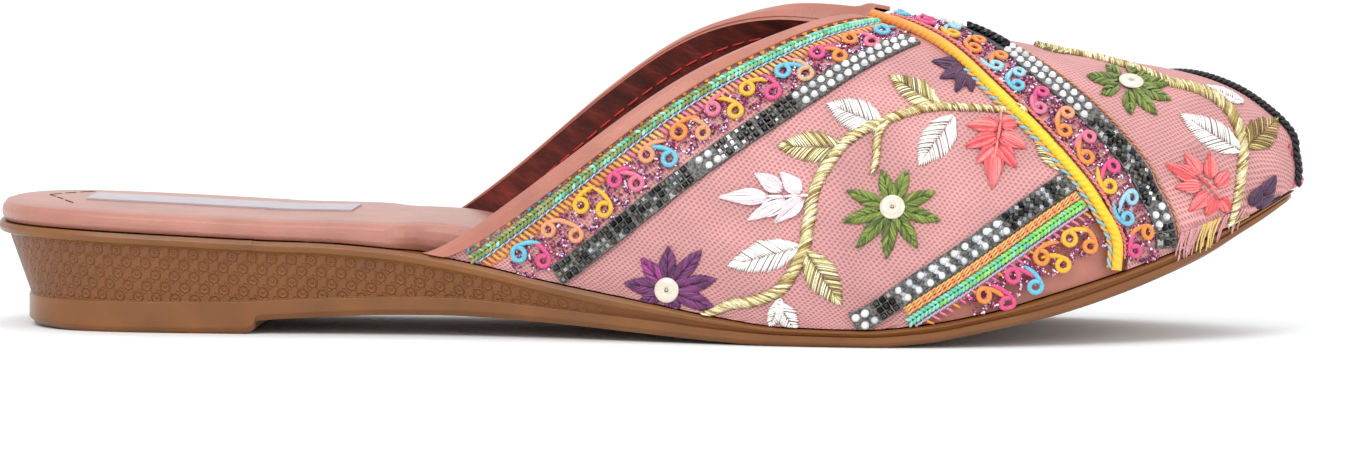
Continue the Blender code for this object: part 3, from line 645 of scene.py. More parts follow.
def rounded(rings, reach, rounds=2):
    """A stack of rings with the corners between them rounded over a reach of some millimetres."""
    rings = [np.asarray(ring, float) for ring in rings]
    stack = [rings[0]]
    for before, here, after in zip(rings, rings[1:], rings[2:]):
        for other in (before, after):
            way = other - here
            length = np.linalg.norm(way, axis=-1, keepdims=True)
            point = here + way / np.maximum(length, 1e-6) * np.minimum(reach, 0.45 * length)
            stack.append(point)
            if other is before:
                stack.append(here)
    stack.append(rings[-1])
    for _ in range(rounds):
        cut = [stack[0]]
        for low, high in zip(stack, stack[1:]):
            cut += [0.75 * low + 0.25 * high, 0.25 * low + 0.75 * high]
        stack = [*cut, stack[-1]]
    return np.stack(stack)


def thread_mesh(paths, normals, radii, colours, sides=5, flat=0.75):
    """Round threads that run along paths (n, m, 3). normals points away from the cloth, radii is (n, m)
    or less, and colours has one colour for each thread. Returns points, faces and a colour for each
    point."""
    paths = np.asarray(paths, float)
    n, m = paths.shape[:2]
    tangent = np.gradient(paths, axis=1)
    tangent /= np.maximum(np.linalg.norm(tangent, axis=-1, keepdims=True), 1e-9)
    side = np.cross(tangent, normals)
    side /= np.maximum(np.linalg.norm(side, axis=-1, keepdims=True), 1e-9)
    up = np.cross(side, tangent)
    radii = np.broadcast_to(radii, (n, m))[..., None]
    angles = np.linspace(0.0, 2 * math.pi, sides, endpoint=False)
    rings = np.stack([paths + radii * (math.cos(a) * side + math.sin(a) * flat * up) for a in angles],
                     axis=2)
    index = np.arange(n * m * sides).reshape(n, m, sides)
    following = np.roll(index, -1, axis=2)
    walls = np.stack([index[:, :-1], following[:, :-1], following[:, 1:], index[:, 1:]],
                     axis=-1).reshape(-1, 4)
    faces = walls.tolist() + index[:, 0, ::-1].tolist() + index[:, -1].tolist()
    return rings.reshape(-1, 3), faces, np.repeat(np.asarray(colours, float), m * sides, axis=0)


def joined(name, batches, finish, smooth=True):
    """One object from batches of (points, faces, colours)."""
    verts, faces, dyes = [], [], []
    first = 0
    for points, quads, colours in batches:
        verts.append(points)
        faces += [[i + first for i in face] for face in quads]
        dyes.append(colours)
        first += len(points)
    made = fill_mesh(name, np.concatenate(verts), faces, [finish], dye=np.concatenate(dyes))
    if smooth:
        made.data.shade_smooth()
    return made


def copies(unit, origins, axes, colours):
    """A unit's (points, faces) repeated: axes (n, 3, 3) holds each copy's own x, y and z, scaled."""
    points, faces = unit
    n, m = len(origins), len(points)
    verts = np.asarray(origins)[:, None] + np.einsum("mk,nkj->nmj", points, axes)
    repeated = [[i + m * k for i in face] for k in range(n) for face in faces]
    return verts.reshape(-1, 3), repeated, np.repeat(np.asarray(colours, float), m, axis=0)


def replace_nodes(piece, *names, slot=None):
    """The piece rides on the shoe and stands for these CAD nodes, which are hidden. slot is not used."""
    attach(piece, "root")
    if names:
        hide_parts(*names)
    return piece


def in_millimetres(tree, own_map=True):
    """The piece's UV map, whose unit is a millimetre, or else its place in the shoe in millimetres."""
    if own_map:
        return add_node(tree, "UVMap", uv_map="surface")
    place = add_node(tree, "TexCoord").outputs["Object"]
    return add_node(tree, "VectorMath", {0: place, 1: (1 / MM, 1 / MM, 1 / MM)}, operation="MULTIPLY")


def cells(tree, place, pitch, row_height):
    """Staggered cells: millimetres from the nearest centre, and cells counted along and across."""
    part = add_node(tree, "SeparateXYZ", {0: place})
    across = add_node(tree, "Math", {0: part.outputs["Y"], 1: 1 / row_height}, operation="MULTIPLY")
    row = add_node(tree, "Math", {0: across}, operation="FLOOR")
    shift = add_node(tree, "Math", {0: row, 1: 0.5}, operation="MULTIPLY")
    along = add_node(tree, "Math", {0: part.outputs["X"], 1: 1 / pitch, 2: shift}, operation="MULTIPLY_ADD")
    from_centre = []
    for share, size in ((along, pitch), (across, row_height)):
        inside = add_node(tree, "Math", {0: share}, operation="FRACT")
        from_centre.append(
            add_node(tree, "Math", {0: inside, 1: size, 2: -0.5 * size}, operation="MULTIPLY_ADD")
        )
    both = add_node(tree, "CombineXYZ", {"X": from_centre[0], "Y": from_centre[1]})
    return add_node(tree, "VectorMath", {0: both}, operation="LENGTH"), part.outputs["X"], across


def blotches(tree, place, scale, detail, colour, *tones):
    """A colour in soft blotches. Each tone is a level of the noise and the colour's factor there."""
    noise = add_node(tree, "TexNoise", {"Vector": place, "Scale": scale, "Detail": detail})
    return add_node(tree, "ValToRGB", {"Fac": noise},
                    stops=[(at, toned(colour, factor)) for at, factor in tones])


def dress(tree, shader, colour, height=None, depth=0.0):
    """Feeds a shader with a colour, and with relief of a depth in millimetres."""
    tree.links.new(next(output for output in colour.outputs if output.enabled), shader.inputs["Base Color"])
    if height:
        bump = add_node(tree, "Bump", {"Height": height, "Strength": 1.0, "Distance": depth * MM})
        tree.links.new(bump.outputs["Normal"], shader.inputs["Normal"])


def sole_wall_finish():
    """Rubber from an engraved mould: warm brown, half gloss, rows of rings that fade out at the arch, the
    raised rings painted lighter as a painted highlight.
    """
    brown = colour_of("sole_wall")
    made, tree, shader = new_finish("moulded rubber, embossed wall", brown, 0.42, IOR=1.5)
    place = in_millimetres(tree)
    pitch = size_of("ring_pitch")
    reach, along, across = cells(tree, place, pitch, pitch * 0.58)
    reach = add_node(tree, "Math", {0: reach, 1: 0.6}, operation="MULTIPLY")
    rings = add_node(tree, "ValToRGB", {"Fac": reach}, stops=[
        (0.0, grey(1.0)), (0.12, grey(0.8)), (0.24, grey(0.1)), (0.42, grey(0.15)), (0.58, grey(1.0)),
        (0.72, grey(0.15)),
    ])
    turn = add_node(tree, "Math", {0: along, 1: 4 * math.pi / pitch}, operation="MULTIPLY")
    sway = add_node(tree, "Math", {0: turn}, operation="SINE")
    curve = add_node(tree, "Math", {0: sway, 1: 0.2, 2: across}, operation="MULTIPLY_ADD")
    inside = add_node(tree, "Math", {0: curve}, operation="FRACT")
    lines = add_node(tree, "ValToRGB", {"Fac": inside}, stops=[
        (0.0, grey(0.6)), (0.1, grey(0.1)), (0.88, grey(0.1)), (0.98, grey(0.6)),
    ])
    raised = add_node(tree, "Math", {0: rings, 1: lines}, operation="MAXIMUM")
    part = add_node(tree, "SeparateXYZ", {0: in_millimetres(tree, own_map=False)})
    fade = add_node(tree, "MapRange", {"Value": part.outputs["X"], 1: 5.0, 2: -30.0})
    height = add_node(tree, "Math", {0: raised, 1: fade}, operation="MULTIPLY")
    ground = blotches(tree, place, 0.07, 3.0, brown, (0.3, 0.86), (0.7, 1.1))
    # painted highlight: where the rings and lines stand up, the brown is mixed towards a lighter brown
    share = add_node(tree, "Math", {0: height, 1: 0.4}, operation="MULTIPLY")
    colour = add_node(tree, "Mix", {0: share, 6: ground, 7: toned(brown, 1.75)}, data_type="RGBA")
    dress(tree, shader, colour, height, 0.35)
    return made


def sole_band_finish():
    """The same rubber from a polished part of the tool: smoother, a little redder, with faint flow marks."""
    brown = colour_of("sole_band")
    made, tree, shader = new_finish("moulded rubber, smooth band", brown, 0.3, IOR=1.5)
    place = in_millimetres(tree, own_map=False)
    colour = blotches(tree, place, 0.11, 3.0, brown, (0.3, 0.85), (0.6, 1.05), (0.8, 1.25))
    ripples = add_node(tree, "TexNoise", {"Vector": place, "Scale": 0.8, "Detail": 3.0})
    dress(tree, shader, colour, ripples, 0.03)
    return made


def sole_tread_finish():
    """The floor side: matt, scuffed, with fine ribs across the shoe for grip."""
    brown = colour_of("sole_wall")
    made, tree, shader = new_finish("moulded rubber, ribbed tread", brown, 0.6, IOR=1.5)
    place = in_millimetres(tree, own_map=False)
    ribs = add_node(tree, "TexWave", {
        "Vector": place, "Scale": 0.314 / size_of("rib_pitch"), "Distortion": 0.6, "Detail": 0.0,
    }, bands_direction="X")
    colour = blotches(tree, place, 0.17, 4.0, brown, (0.3, 0.7), (0.7, 1.0))
    dress(tree, shader, colour, ribs.outputs["Fac"], 0.35)
    return made


def leather_finish(name, pink, roughness):
    """Leatherette pressed with a fine grain: even pink, soft gloss that breaks up in grain and creases."""
    made, tree, shader = new_finish(name, pink, roughness, IOR=1.46, Coat_Weight=0.15, Coat_Roughness=0.35)
    place = in_millimetres(tree, own_map=False)
    colour = blotches(tree, place, 0.09, 4.0, pink, (0.3, 0.88), (0.7, 1.1))
    grain = add_node(tree, "TexVoronoi", {"Vector": place, "Scale": 1 / size_of("leather_grain")},
                     feature="SMOOTH_F1")
    drag = add_node(tree, "TexNoise", {"Vector": place, "Scale": 0.2, "Detail": 3.0})
    pores = add_node(tree, "Math", {0: drag, 1: 3.0, 2: grain.outputs["Distance"]}, operation="MULTIPLY_ADD")
    dress(tree, shader, colour, pores, 0.06)
    return made


def velvet_finish():
    """Cut velvet lining: its dark red, nearly black as painted shade in the pile, and bright red streaks of
    painted sheen where it lies over.
    """
    red = colour_of("lining")
    made, tree, shader = new_finish("velvet lining", red, 0.75, Sheen_Weight=0.35, Sheen_Roughness=0.35)
    shader.inputs["Sheen Tint"].default_value = from_hex("C04A38")
    combed = add_node(tree, "Mapping", {"Vector": in_millimetres(tree), "Rotation": (0.0, 0.0, 0.5),
                                                  "Scale": (0.6, 1.2, 1.0)})
    # painted shade at the dark tones and painted sheen streaks at the bright ones
    colour = blotches(tree, combed, 0.2, 5.0, red, (0.3, 0.45), (0.5, 1.0), (0.62, 1.7), (0.76, 3.0))
    pile = add_node(tree, "TexNoise", {"Vector": combed, "Scale": 0.85, "Detail": 4.0})
    dress(tree, shader, colour, pile, 0.25)
    return made


def net_finish():
    """Knitted net drawn tight over satin: pale pink threads, and staggered holes with the satin below,
    painted darker as the shade in the holes.
    """
    pink = colour_of("net")
    made, tree, shader = new_finish("embroidery net over satin", pink, 0.6, Sheen_Weight=0.25,
                                    Sheen_Roughness=0.4)
    shader.inputs["Sheen Tint"].default_value = from_hex("F2C9C6")
    place = in_millimetres(tree)
    pull = add_node(tree, "TexNoise", {"Vector": place, "Scale": 0.12, "Detail": 1.0})
    drawn = add_node(tree, "VectorMath", {0: pull.outputs["Color"], 1: (1.6, 1.6, 0.0), 2: place},
                     operation="MULTIPLY_ADD")
    mesh = size_of("net_mesh")
    reach = cells(tree, drawn, mesh, mesh * 0.78)[0]
    thread = add_node(tree, "ValToRGB", {"Fac": reach}, stops=[(0.12, grey(0.0)), (0.34, grey(1.0))])
    threads = blotches(tree, place, 0.06, 3.0, pink, (0.3, 0.9), (0.55, 1.06), (0.75, 1.28))
    # the satin in the holes: the net's pink painted darker, as painted shade
    satin = blotches(tree, place, 0.06, 3.0, pink, (0.3, 0.6), (0.7, 0.8))
    colour = add_node(tree, "Mix", {0: thread, 6: satin, 7: threads}, data_type="RGBA")
    dress(tree, shader, colour, thread, 0.2)
    return made


def dyed_finish(name, roughness, fibre=0.35, **sockets):
    """Thread or stone, its colour painted on each piece in the attribute dye. fibre is in millimetres."""
    made, tree, shader = new_finish(name, (1.0, 1.0, 1.0), roughness, **sockets)
    dye = add_node(tree, "Attribute", attribute_name="dye")
    if not fibre:
        dress(tree, shader, dye)
        return made
    strands = add_node(tree, "TexNoise",
                       {"Vector": in_millimetres(tree, own_map=False), "Scale": 1 / fibre, "Detail": 2.0})
    shade = add_node(tree, "ValToRGB", {"Fac": strands}, stops=[(0.3, grey(0.72)), (0.6, grey(1.0))])
    colour = add_node(tree, "Mix", {0: 1.0, 6: dye, 7: shade}, data_type="RGBA", blend_type="MULTIPLY")
    dress(tree, shader, colour, strands, 0.08)
    return made


def piping_finish():
    """A cord wrapped in rayon: fine slanting ridges, and yellow that turns to orange towards the throat."""
    yellow = colour_of("piping")
    made, tree, shader = new_finish("yellow whipped rayon", yellow, 0.42, Sheen_Weight=0.2)
    place = in_millimetres(tree)
    part = add_node(tree, "SeparateXYZ", {0: place})
    slanted = add_node(tree, "Math", {0: part.outputs["Y"], 1: 0.6, 2: part.outputs["X"]},
                       operation="MULTIPLY_ADD")
    turns = add_node(tree, "Math", {0: slanted, 1: 2 * math.pi / 1.3}, operation="MULTIPLY")  # 1.3 mm a turn
    ridge = add_node(tree, "Math", {0: turns}, operation="SINE")
    along = add_node(tree, "Math", {0: part.outputs["X"], 1: 0.01}, operation="MULTIPLY")
    blotch = add_node(tree, "TexNoise", {"Vector": place, "Scale": 0.17, "Detail": 2.0})
    wandering = add_node(tree, "Math", {0: blotch, 1: 0.16, 2: along}, operation="MULTIPLY_ADD")
    colour = add_node(tree, "ValToRGB", {"Fac": wandering}, stops=[
        (0.05, from_hex("F2B52C")), (0.2, toned(yellow, 1.0)), (0.5, toned(yellow, 1.05)),
        (0.68, from_hex("F3A92E")),
        (0.85, from_hex("EB8A3C")),
    ])
    dress(tree, shader, colour, ridge, 0.08)
    return made


def sole_piece():
    """The moulded sole: its smooth outline with rounded lip, band and heel step."""
    last = len(SOLE) - 1
    u = np.unique(np.concatenate([np.linspace(0.0, last, last * 6 + 1), np.linspace(9.0, 11.0, 31)]))
    sides = []
    for side in (-1, 1):
        rings = [sole_point(u, side, inset, height) for inset, height in sole_levels(u)]
        for lip_ring in rings[-3:]:
            lip_ring[:, 2] += SEAT(lip_ring[:, 0]) - SOLE_AT["seat"](u)
        sides.append(rounded(rings, 0.45))
    length = np.concatenate([[0.0], np.cumsum(np.linalg.norm(np.diff(sides[0][-1], axis=0), axis=-1))])
    top = SEAT(sides[0][0][:, 0])
    parts = []
    wall_from, wall_to = 33, 46  # the rows where rounding leaves the wall's lower and upper edge
    for rings in sides:
        uv = np.stack([np.broadcast_to(length, rings.shape[:2]), top - rings[..., 2]], axis=-1)
        parts += [
            (rings[:wall_from + 1], uv[:wall_from + 1], 1),
            (rings[wall_from:wall_to + 1], uv[wall_from:wall_to + 1], 0),
            (rings[wall_to:], uv[wall_to:], 1),
        ]
    share = np.linspace(0.0, 1.0, 9)[:, None, None]
    for low, slot in ((0, 2), (-1, 1)):
        face = sides[0][low] * (1 - share) + sides[1][low] * share
        parts.append((face, face[..., :2], slot))
    made = surface_piece("sole_moulding", parts,
                         [sole_wall_finish(), sole_band_finish(), sole_tread_finish()], 35.0)
    return replace_nodes(made, "sole_unit", slot="sole_rubber")


def insole_outline(side):
    """The insole's edge from above: the sole's outline drawn in, and in front the vamp's inside."""
    rear = sole_point(np.linspace(0.0, 10.7, 90), side, INSOLE_MARGIN, 0.0)[:, :2]
    collar = float(COLLAR_AT(side))
    at = np.concatenate([np.linspace(71.0, 236.0, 110), np.linspace(237.0, 261.5, 30)])
    width = column(SOLE, "x", "lateral" if side < 0 else "medial")
    behind = np.stack([at, side * (width(at) - INSOLE_MARGIN)], axis=-1)
    share = blend(collar - 7.0, collar - 0.5, at)[:, None]
    beside_binding = (BINDING_THICKNESS + GAP) * (1 - blend(96.0, 108.0, at))
    within = within_vamp(at, side, WALL + 2 * GAP + beside_binding)
    return np.concatenate([rear, behind * (1 - share) + within * share])


def insole_piece():
    """The padded insole: leatherette drawn over foam, with a soft rolled edge and shallow drag folds."""
    lateral, medial = insole_outline(-1), insole_outline(1)
    spine = (lateral + medial) / 2
    spine[:, 0] = np.clip(spine[:, 0], SPINE_FROM, SPINE_TO)
    thickness = INSOLE_THICKNESS(lateral[:, 0])

    def ring(edge, row):
        towards = spine - edge
        along = edge[:, 0]
        folds = 0.1 * np.sin(along * 0.33 + 2.0 * np.sin(along * 0.09)) * (row.rise > 0.3) * (row.rise < 1.0)
        draw = (row.draw + folds)[:, None] if row.rise < 1.0 else row.draw
        flat = edge + towards / np.linalg.norm(towards, axis=-1, keepdims=True) * draw
        return np.concatenate([flat, (SEAT(flat[:, 0]) + GAP + thickness * row.rise)[:, None]], axis=-1)

    sides = [rounded([ring(edge, row) for row in INSOLE_EDGE], 1.2) for edge in (lateral, medial)]
    outer, inner = sides[0][-1], sides[1][-1]
    half = (inner[:, 1] - outer[:, 1]) / 2
    across = np.linspace(0.0, 1.0, 18)[:, None, None]
    top = outer * (1 - across) + inner * across
    top[..., 2] += INSOLE_CROWN * np.clip(half / 20.0, 0.0, 1.0) * (1 - (2 * across[..., 0] - 1) ** 2)
    under = np.stack([sides[0][0], sides[1][0]])
    parts = [(grid, grid[..., :2], 0) for grid in (*sides, top, under)]
    pink = leather_finish("pink leatherette, padded", colour_of("insole"), 0.36)
    made = replace_nodes(surface_piece("padded_insole", parts, [pink]), "insole", slot="pink_leatherette")
    return made


def insole_top(x, y):
    """Height of the insole's upper face."""
    return SEAT(x) + GAP + INSOLE_THICKNESS(x) + INSOLE_CROWN * (1 - (y / LABEL_CROWN_HALF) ** 2)


def label_piece():
    """The label strip: thin satin film, left blank."""
    x, y = np.meshgrid(np.linspace(LABEL_FROM, LABEL_TO, 60),
                       np.linspace(-LABEL_HALF_WIDTH, LABEL_HALF_WIDTH, 14),
                       indexing="ij")
    faces = [np.stack([x, y, insole_top(x, y) + lift], axis=-1) for lift in (LABEL_THICKNESS, 0.02)]
    white = colour_of("label")
    made, tree, shader = new_finish("satin film label", white, 0.5, Sheen_Weight=0.1)
    weave = add_node(tree, "TexNoise", {"Vector": in_millimetres(tree, own_map=False), "Scale": 0.35,
                                        "Detail": 5.0})
    colour = add_node(tree, "ValToRGB", {"Fac": weave},
                      stops=[(0.3, toned(white, 0.93)), (0.7, toned(white, 1.06))])
    dress(tree, shader, colour, weave, 0.03)
    return replace_nodes(surface_piece("blank_label", shell(*faces), [made]), "insole_label",
                         slot="label_strip")


def panel_grid(rear, front, height, rows, columns, crowd=1.2):
    """Points over the vamp between two edges, at one face's height, and their map in millimetres."""
    share = 1 - (1 - np.linspace(0.0, 1.0, rows)[:, None]) ** crowd
    girth = np.concatenate([np.linspace(-1.0, 0.0, columns), np.linspace(0.0, 1.0, columns)[1:]])[None, :]
    girth = girth + np.zeros((rows, 1))
    at = rear(girth) * (1 - share) + front(girth) * share
    points = vamp(at, girth, height(at, girth))
    ridge = columns - 1
    steps = np.linalg.norm(np.diff(points, axis=1), axis=-1)
    length = np.concatenate([np.zeros((rows, 1)), np.cumsum(steps, axis=1)], axis=1)
    return points, np.stack([at, length - length[:, ridge:ridge + 1]], axis=-1)


def panel_piece(name, rear, front, low, high, finishes, rows, columns, slots=(0, 0)):
    """A panel's wall: its outer and inner face and its edges."""
    outer, outer_uv = panel_grid(rear, front, high, rows, columns)
    inner, inner_uv = panel_grid(rear, front, low, rows, columns)
    parts = shell(outer, inner, *slots)
    parts[0] = (outer, outer_uv, slots[0])
    parts[1] = (inner, inner_uv, slots[1])
    return surface_piece(name, parts, finishes)


def gathers(at, girth):
    """Small folds of the net where its edge is pulled under the sole, and fainter drag lines above them."""
    foot = blend(0.72, 0.98, np.abs(girth))
    folds = foot * np.sin(at * 1.1 + 3.0 * np.sin(at * 0.21)) + 0.25 * np.sin(at * 0.5 + girth * 9.0)
    return size_of("gathers") * folds


def vamp_piece():
    """The hollow vamp: leather outside, velvet inside."""
    made = panel_piece(
        "vamp_shell", lambda girth: COLLAR_AT(girth) + VELVET_SETBACK, lambda girth: TOE_POLE + 0.0 * girth,
        level(-WALL), level(0.0), [leather_finish("dusty pink leather", colour_of("leather"), 0.42),
                                   velvet_finish()],
        72, 52, (0, 1),
    )
    return replace_nodes(made, "upper", slot="vamp_leather")


def velvet_stitches():
    """The red seam that holds the velvet along the inner side of the collar."""
    girth = np.linspace(0.22, 0.99, 400)
    pairs, place = along_line(beside(np.stack([COLLAR_AT(girth), girth], axis=-1), VELVET_SEAM), 600)
    starts = np.arange(1.0, place[-1] - 3.0, 3.6)[:, None] + np.linspace(0.0, 2.6, 5)
    at, around = (np.interp(starts, place, pairs[:, i]) for i in (0, 1))
    rise = -WALL - 0.05 - 0.12 * np.sin(np.linspace(0.0, math.pi, 5))
    paths = vamp(at, around, rise + 0.0 * at)
    threads = thread_mesh(paths, -normal_at(at, around), 0.2, [from_hex("D8342E")] * len(paths))
    trim("velvet_stitches", [threads], dyed_finish("red sewing thread", 0.5))


def strap_pieces():
    """The two straps of net that cross over the vamp."""
    net = net_finish()
    under = panel_piece(
        "lower_net_strap", lambda girth: under_rear(girth) + EDGE_SETBACK, UNDER_FRONT_AT, level(0.12),
        lambda at, girth: on_under(at, girth) + gathers(at, girth), [net], 110, 60,
    )
    replace_nodes(under, "strap_under", slot="embroidered_net")
    over = panel_piece(
        "upper_net_strap", lambda girth: over_rear(girth) + EDGE_SETBACK + PIPING_SETBACK * (girth < 0),
        OVER_FRONT_AT,
        over_low, lambda at, girth: over_high(at, girth) + gathers(at, girth), [net], 110, 60,
    )
    replace_nodes(over, "strap_over", slot="embroidered_net")


def binding_piece(name, low, high, top, finish):
    """A turned leather edge, pared thin over the collar, so that the velvet shows right up to it."""
    girth = np.linspace(low, high, 84)
    inner = level(-WALL / 2)
    section = [
        (BINDING_LEG, top, GAP), (BINDING_LEG, top, GAP + BINDING_THICKNESS),
        (1.7, top, GAP + BINDING_THICKNESS),
        (0.0, inner, WALL), (0.0, inner, 0.0), (1.0, inner, 0.0), (1.0, inner, BINDING_THICKNESS),
        (EDGE_SETBACK - 0.1, top, GAP),
    ]
    rings = [vamp(COLLAR_AT(girth) + ahead, girth, face(COLLAR_AT(girth) + ahead, girth) + lift)
             for ahead, face, lift in section]
    loop = rounded([*rings, rings[0]], 0.5)
    parts = [(loop, flat_uv(loop), 0)]
    for end in (0, -1):
        cap = np.stack([loop[:, end], np.broadcast_to(loop[:, end].mean(axis=0), loop[:, end].shape)])
        parts.append((cap, flat_uv(cap), 0))
    return surface_piece(name, parts, [finish])


def bindings():
    """The turned leather edges round both sides of the collar."""
    pink = leather_finish("turned leather edge", colour_of("leather"), 0.4)
    outer = binding_piece("outer_collar_binding", -1.0, -1 / 14, on_under, pink)
    replace_nodes(outer, "collar_binding_outer", slot="pink_leatherette")
    inner = binding_piece(
        "inner_collar_binding", 0.0, 1.0,
        lambda at, girth: over_high(at, girth) + THROAT_EASE * (1 - blend(0.12, 0.3, girth)), pink,
    )
    replace_nodes(inner, "collar_binding_inner", slot="pink_leatherette")


def crossing_line(low, high):
    return line_points(CROSSING_AT, low, high)


def collar_line(low, high):
    return line_points(COLLAR_AT, low, high)


def cord_piece(name, band, radius, finish, height, sides=14, count=260):
    """A round cord along a band, with its length and its turn in its map."""
    s = np.linspace(0.0, band.length, count)
    centre = band(s, 0.0, height + radius)
    up = centre - band(s, 0.0, height)
    up /= np.linalg.norm(up, axis=-1, keepdims=True)
    across = np.cross(np.gradient(centre, axis=0), up)
    across /= np.linalg.norm(across, axis=-1, keepdims=True)
    angles = np.linspace(0.0, 2 * math.pi, sides + 1)
    skin = np.stack([centre + radius * (math.cos(a) * up + math.sin(a) * across) for a in angles])
    uv = np.stack(np.broadcast_arrays(s[None, :], (angles * radius)[:, None]), axis=-1)
    parts = [(skin, uv, 0)]
    for end_ring, middle in ((skin[:, 0], centre[0]), (skin[:, -1], centre[-1])):
        cap = np.stack([end_ring, np.broadcast_to(middle, end_ring.shape)])
        parts.append((cap, np.zeros((*cap.shape[:2], 2)), 0))
    return surface_piece(name, parts, [finish])


def tape_piece(name, band, count=200):
    """The woven tape under the stones: flat, with rounded edges."""
    s = np.linspace(0.0, band.length, count)
    half_width = TAPE_WIDTH / 2
    rings = [band(s, t, height) for t, height in (
        (-half_width, 0.0), (-half_width, TAPE_THICKNESS), (half_width, TAPE_THICKNESS), (half_width, 0.0),
    )]
    skin = rounded(rings, 0.2)
    parts = [(skin, flat_uv(skin), 0), (np.stack([skin[0], skin[-1]]), np.zeros((2, count, 2)), 0)]
    for end_ring in (skin[:, 0], skin[:, -1]):
        half = (len(end_ring) + 1) // 2
        cap = np.stack([end_ring[:half], end_ring[::-1][:half]])
        parts.append((cap, np.zeros((*cap.shape[:2], 2)), 0))
    return surface_piece(name, parts, [tape_finish()])


def unit_of(shape_by_hand):
    """Points and faces, in millimetres, of a unit that bpy.ops models, to be copied along a line."""
    bpy.ops.object.select_all(action="DESELECT")
    shape_by_hand()
    made = bpy.context.active_object
    points = np.array([vertex.co for vertex in made.data.vertices])
    faces = [list(face.vertices) for face in made.data.polygons]
    bpy.data.objects.remove(made)
    return points, faces


def cut_stone(sides, turn, inset):
    """A low stone with a table facet: 1 mm across its girdle."""
    radius = 0.5 / math.cos(turn)
    bpy.ops.mesh.primitive_cone_add(
        vertices=sides, radius1=radius, radius2=radius * inset, depth=0.45, rotation=(0, 0, turn))
    bpy.ops.object.transform_apply(rotation=True)
    bpy.ops.object.mode_set(mode="EDIT")
    bpy.ops.mesh.select_all(action="SELECT")
    bpy.ops.mesh.bevel(offset=0.03, segments=1)
    bpy.ops.mesh.normals_make_consistent(inside=False)
    bpy.ops.object.mode_set(mode="OBJECT")


def thread_grain():
    """One chain stitch's leg: a plump grain 1 mm long."""
    bpy.ops.mesh.primitive_uv_sphere_add(segments=7, ring_count=5, radius=0.5)


def glitter_bead():
    bpy.ops.mesh.primitive_ico_sphere_add(subdivisions=1, radius=0.5)


def flat_disc():
    """A sequin: a cupped disc 1 mm across, with a hole."""
    bpy.ops.mesh.primitive_circle_add(vertices=28, radius=0.5, fill_type="NOTHING")
    bpy.ops.object.mode_set(mode="EDIT")
    bpy.ops.mesh.select_all(action="SELECT")
    for scale, rise in ((0.94, 0.02), (0.55, 0.035), (0.16 / 0.94 / 0.55, -0.02)):
        bpy.ops.mesh.extrude_edges_move(TRANSFORM_OT_translate={"value": (0.0, 0.0, rise)})
        bpy.ops.transform.resize(value=(scale, scale, 1.0))
    bpy.ops.object.mode_set(mode="OBJECT")
    bpy.ops.object.modifier_add(type="SOLIDIFY")
    bpy.context.active_object.modifiers[0].thickness = 0.04
    bpy.ops.object.modifier_apply(modifier=bpy.context.active_object.modifiers[0].name)


UNIT_SHAPES = {
    "square": lambda: cut_stone(4, math.pi / 4, 0.45),
    "round": lambda: cut_stone(10, 0.0, 0.6),
    "grain": thread_grain,
    "bead": glitter_bead,
    "disc": flat_disc,
}
UNITS = {}


def unit(name):
    """Points and faces of a unit, which is modelled when it is first asked for."""
    if name not in UNITS:
        UNITS[name] = unit_of(UNIT_SHAPES[name])
    return UNITS[name]


def normal_at(at, girth):
    along, around = vamp_slopes(at, girth)
    normal = np.cross(along, around)
    return normal / np.linalg.norm(normal, axis=-1, keepdims=True)


def frames_on(band, s, t, height, turn):
    """Origins and axes for copies on a band: x along it, y across and z off the cloth, then turned."""
    s, t, turn = np.broadcast_arrays(np.asarray(s, float), np.asarray(t, float), np.asarray(turn, float))
    origins = band(s, t, height)
    at, girth = band.pair(s, t)
    normal = normal_at(at, girth)
    ahead = band(s + 0.4, t, height) - band(s - 0.4, t, height)
    ahead -= (ahead * normal).sum(-1, keepdims=True) * normal
    ahead /= np.maximum(np.linalg.norm(ahead, axis=-1, keepdims=True), 1e-9)
    side = np.cross(normal, ahead)
    cos, sin = np.cos(turn)[:, None], np.sin(turn)[:, None]
    return origins, np.stack([cos * ahead + sin * side, cos * side - sin * ahead, normal], axis=1)


def scaled(axes, x, y, z):
    return axes * np.stack(np.broadcast_arrays(*(np.asarray(v, float) for v in (x, y, z))),
                           axis=-1).reshape(-1, 3)[..., None]


def set_on(band, shape, s, t, height, turn, size, colours):
    """Copies of a unit on a band. size is how long, wide and high they are."""
    origins, axes = frames_on(band, s, t, height, turn)
    return copies(unit(shape), origins, scaled(axes, *size), colours)


def picked(rng, colours, count):
    """Linear colours picked at random from hex ones."""
    table = np.array([from_hex(colour) for colour in colours])
    return table[rng.integers(0, len(table), count)]


def shaded(rng, colours, spread=0.12):
    """The same colours, each a little lighter or darker."""
    colours = np.array(colours)
    colours[:, :3] *= 1 + rng.uniform(-spread, spread, (len(colours), 1))
    return colours


CURL_POINTS = 22


def curl(shape):
    """The path of one thread curl in millimetres: a tail that runs into a ring. shape mirrors it."""
    angles = np.radians(np.linspace(165.0, 165.0 + 350.0, CURL_POINTS - 6))
    size = np.linspace(1.32, 1.12, CURL_POINTS - 6)
    ring = np.stack([size * np.cos(angles), size * np.sin(angles)], axis=-1)
    tail = np.array([[0.9, 4.5], [0.2, 3.9], [-0.45, 3.1], [-0.9, 2.2], [-1.15, 1.4], [-1.26, 0.8]])
    path = np.concatenate([tail, ring])
    path[:, 0] *= shape
    return path


